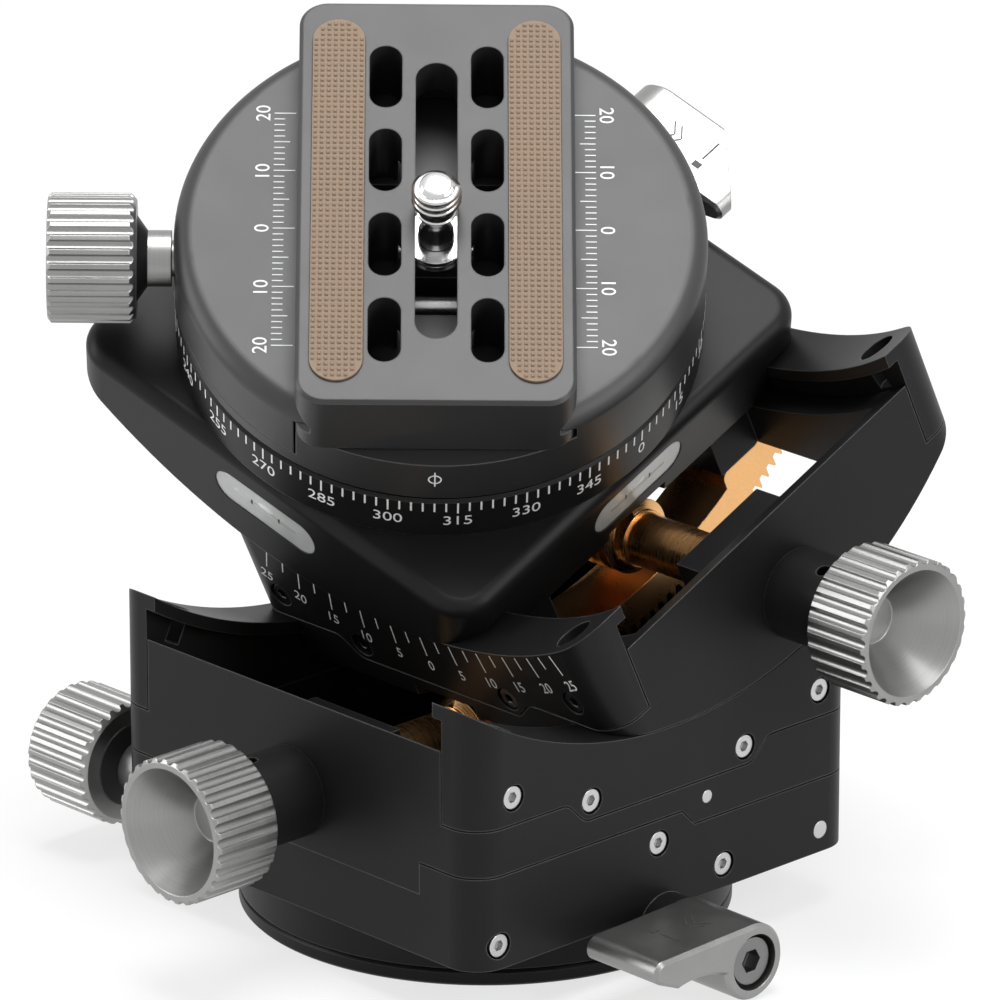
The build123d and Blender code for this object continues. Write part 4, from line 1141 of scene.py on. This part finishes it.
@dataclass
class GripStrips:
    """Small pyramids on the two rubber strips."""

    palette: Palette
    along: float = -0.7
    across: float = 0.5
    reach: float = 13.5
    wide: float = 7.2
    long: float = 62.0
    pitch: float = 0.9
    low: float = 96.30
    top: float = 96.72

    def build(self) -> None:
        """Make one sheet of pyramids, kept inside a strip's outline, and copy it."""
        columns = int(self.wide / self.pitch)
        rows = int(self.long / self.pitch)
        deselect()
        bpy.ops.mesh.primitive_cone_add(
            vertices=4, radius1=self.pitch * 0.66, radius2=self.pitch * 0.2,
            depth=self.top - self.low, location=(0, 0, (self.top + self.low) / 2),
            rotation=(0, 0, math.pi / 4), end_fill_type="NGON",
        )
        model = active("pyramid")
        places = []
        radius = self.wide / 2
        straight = self.long / 2 - radius
        for side in (-1, 1):
            for row in range(rows):
                for column in range(columns):
                    x = (column - (columns - 1) / 2) * self.pitch
                    y = (row - (rows - 1) / 2) * self.pitch
                    beyond = max(0.0, abs(y) - straight)
                    if math.hypot(x, beyond) > radius - self.pitch * 0.35:
                        continue
                    places.append(shift(self.along + side * self.reach + x, self.across + y, 0))
        sheet = stamp(model, places, "grip_pyramids")
        mount(settle(sheet, STACK.clamp), "plate", self.palette.rubber)


@dataclass
class Vial:
    """Bubble level: liquid tube, bubble and the two lines beside it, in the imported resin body."""

    palette: Palette
    node: str
    height: float
    facing: float
    face: float = 36.35
    tube_radius: float = 1.5
    tube_half: float = 6.6
    line_out: float = 2.5

    def build(self) -> None:
        """Make the tube, the bubble and the lines, the tube's front just out of the resin."""
        home = STACK.stage @ turn(self.facing, "Z")
        lie = shift(self.face - 1.45, 0, self.height) @ turn(90, "X")
        end, half = self.tube_half, self.tube_radius
        profile = [(0.3, -end), (half * 0.73, 0.3 - end), (half, 1.0 - end)]
        profile += [(radius, -height) for radius, height in reversed(profile)]
        bubble = [(0.2, -2.0), (0.7, -1.6), (0.9, -0.8), (0.9, 0.8), (0.7, 1.6), (0.2, 2.0)]
        tube = turned(f"{self.node}_tube", profile, 24)
        air = turned(f"{self.node}_bubble", bubble, 24)
        air.data.transform(shift(half - 0.8, half - 0.8, 0))
        lines = []
        for along in (-self.line_out, self.line_out):
            step = [(half + 0.05, along - 0.13), (half + 0.05, along + 0.13)]
            lines.append(turned("level_line", step, 24))
        marks = join(lines, f"{self.node}_lines")
        coats = ((tube, self.palette.liquid), (air, self.palette.air), (marks, self.palette.engraved))
        for piece, coat in coats:
            piece.data.transform(lie)
            mount(settle(piece, home), "top_stage", coat)


# ---- studio ------------------------------------------------------------------------------------
@dataclass(frozen=True)
class Studio:
    """Camera at the photograph's view, plain floor, white surround and soft lamps."""

    azimuth: float = 46.34
    elevation: float = 19.64
    distance: float = 1.19021
    aim: float = 0.05784
    aside: float = 0.00203
    lens: float = 312.218
    world: float = 0.38

    def axes(self) -> tuple[Vector, Vector, Vector]:
        """The camera's directions.

        Returns:
            Right, up and back.
        """
        az, el = math.radians(self.azimuth), math.radians(self.elevation)
        right = Vector((math.cos(az), math.sin(az), 0.0))
        back = Vector((math.sin(az) * math.cos(el), -math.cos(az) * math.cos(el), math.sin(el)))
        return right, back.cross(right), back

    def camera(self) -> None:
        """Set the camera."""
        right, up, back = self.axes()
        data = bpy.data.cameras.new("view")
        data.lens = self.lens
        data.sensor_width = 36.0
        data.clip_start = 0.05
        data.clip_end = 20.0
        camera = bpy.data.objects.new("view", data)
        bpy.context.collection.objects.link(camera)
        place = Vector((0, 0, self.aim)) + right * self.aside + back * self.distance
        frame = Matrix((right, up, back)).transposed().to_4x4()
        camera.matrix_world = Matrix.Translation(place) @ frame
        bpy.context.scene.camera = camera

    def lamp(self, name: str, place: Point, size: tuple[float, float], power: float) -> None:
        """Add a soft rectangular lamp that looks at the object.

        Args:
            name: the lamp's name.
            place: where it hangs, in metres.
            size: its width and height in metres.
            power: its power in watts.
        """
        data = bpy.data.lights.new(name, "AREA")
        data.shape = "RECTANGLE"
        data.size, data.size_y = size
        data.energy = power
        lamp = bpy.data.objects.new(name, data)
        bpy.context.collection.objects.link(lamp)
        aim = Vector((0, 0, 0.06)) - Vector(place)
        lamp.matrix_world = Matrix.Translation(place) @ aim.to_track_quat("-Z", "Y").to_matrix().to_4x4()

    def surround(self) -> None:
        """White for what the camera, gloss and glass see; a plain grey light otherwise."""
        world = bpy.data.worlds.new("surround")
        bpy.context.scene.world = world
        world.use_nodes = True
        tree = world.node_tree
        tree.nodes.clear()
        path = tree.nodes.new("ShaderNodeLightPath")
        seen = tree.nodes.new("ShaderNodeMath")
        seen.operation = "MAXIMUM"
        seen_too = tree.nodes.new("ShaderNodeMath")
        seen_too.operation = "MAXIMUM"
        tree.links.new(path.outputs["Is Camera Ray"], seen.inputs[0])
        tree.links.new(path.outputs["Is Glossy Ray"], seen.inputs[1])
        tree.links.new(seen.outputs[0], seen_too.inputs[0])
        tree.links.new(path.outputs["Is Transmission Ray"], seen_too.inputs[1])
        light = tree.nodes.new("ShaderNodeBackground")
        light.inputs["Strength"].default_value = self.world
        shown = tree.nodes.new("ShaderNodeBackground")
        for node in (light, shown):
            node.inputs["Color"].default_value = (1, 1, 1, 1)
        mix = tree.nodes.new("ShaderNodeMixShader")
        tree.links.new(seen_too.outputs[0], mix.inputs[0])
        tree.links.new(light.outputs[0], mix.inputs[1])
        tree.links.new(shown.outputs[0], mix.inputs[2])
        output = tree.nodes.new("ShaderNodeOutputWorld")
        tree.links.new(mix.outputs[0], output.inputs["Surface"])

    def floor(self) -> None:
        """Pale floor that fades to the white surround and keeps the object's shadow."""
        deselect()
        bpy.ops.mesh.primitive_plane_add(size=12.0)
        floor = active("floor")
        graph = Graph("pale_floor")
        cloud = graph.noise(graph.place(), 40.0, 2.0)
        matt = graph.node("ShaderNodeBsdfDiffuse", Color=graph.mix(cloud, (0.88,) * 3, (0.9,) * 3))
        glow = graph.node("ShaderNodeEmission", Color=(1, 1, 1, 1), Strength=1.0)
        path = graph.node("ShaderNodeLightPath")
        glossy = Value(graph, path.outputs["Is Glossy Ray"])
        seen = Value(graph, path.outputs["Is Camera Ray"]).math("MAXIMUM", glossy)
        seen = seen.math("MAXIMUM", Value(graph, path.outputs["Is Transmission Ray"]))
        mix = graph.node("ShaderNodeMixShader")
        graph.link(seen * 0.72, mix.inputs[0])
        graph.tree.links.new(matt.outputs[0], mix.inputs[1])
        graph.tree.links.new(glow.outputs[0], mix.inputs[2])
        graph.tree.links.new(mix.outputs[0], graph.output.inputs["Surface"])
        dress(floor, graph.material)

    def build(self) -> None:
        """Set camera, surround, floor and lamps."""
        bpy.context.scene.view_settings.view_transform = "Standard"
        self.camera()
        self.surround()
        self.floor()
        self.lamp("top_softbox", (0.05, 0.02, 0.95), (0.55, 0.55), 8.5)
        self.lamp("left_softbox", (-0.75, -0.75, 0.45), (0.3, 0.9), 5.0)
        self.lamp("right_softbox", (0.95, 0.20, 0.50), (0.35, 0.9), 5.5)


def main() -> None:
    """Load the solids, dress them and add what only looks show."""
    logging.basicConfig(level=logging.INFO, format="%(message)s")
    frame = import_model()
    deselect()
    Studio().build()
    palette = Palette()
    palette.coat(frame["nodes"])
    for part in (
        RingScale(palette),
        TiltScale(palette),
        ClampScale(palette),
        IndexMark(palette),
        LeverMarks(palette, "pan_lock", STACK.pan_lever, "pan_lever_marks"),
        LeverMarks(palette, "top_lock", STACK.top_lever, "top_lever_marks"),
        CameraStud(palette),
        GripStrips(palette),
        Vial(palette, "vial_front", 61.5, -90.0),
        Vial(palette, "vial_right", 63.3, 0.0),
    ):
        LOG.info("building %s", type(part).__name__)
        part.build()


if __name__ == "__main__":
    main()
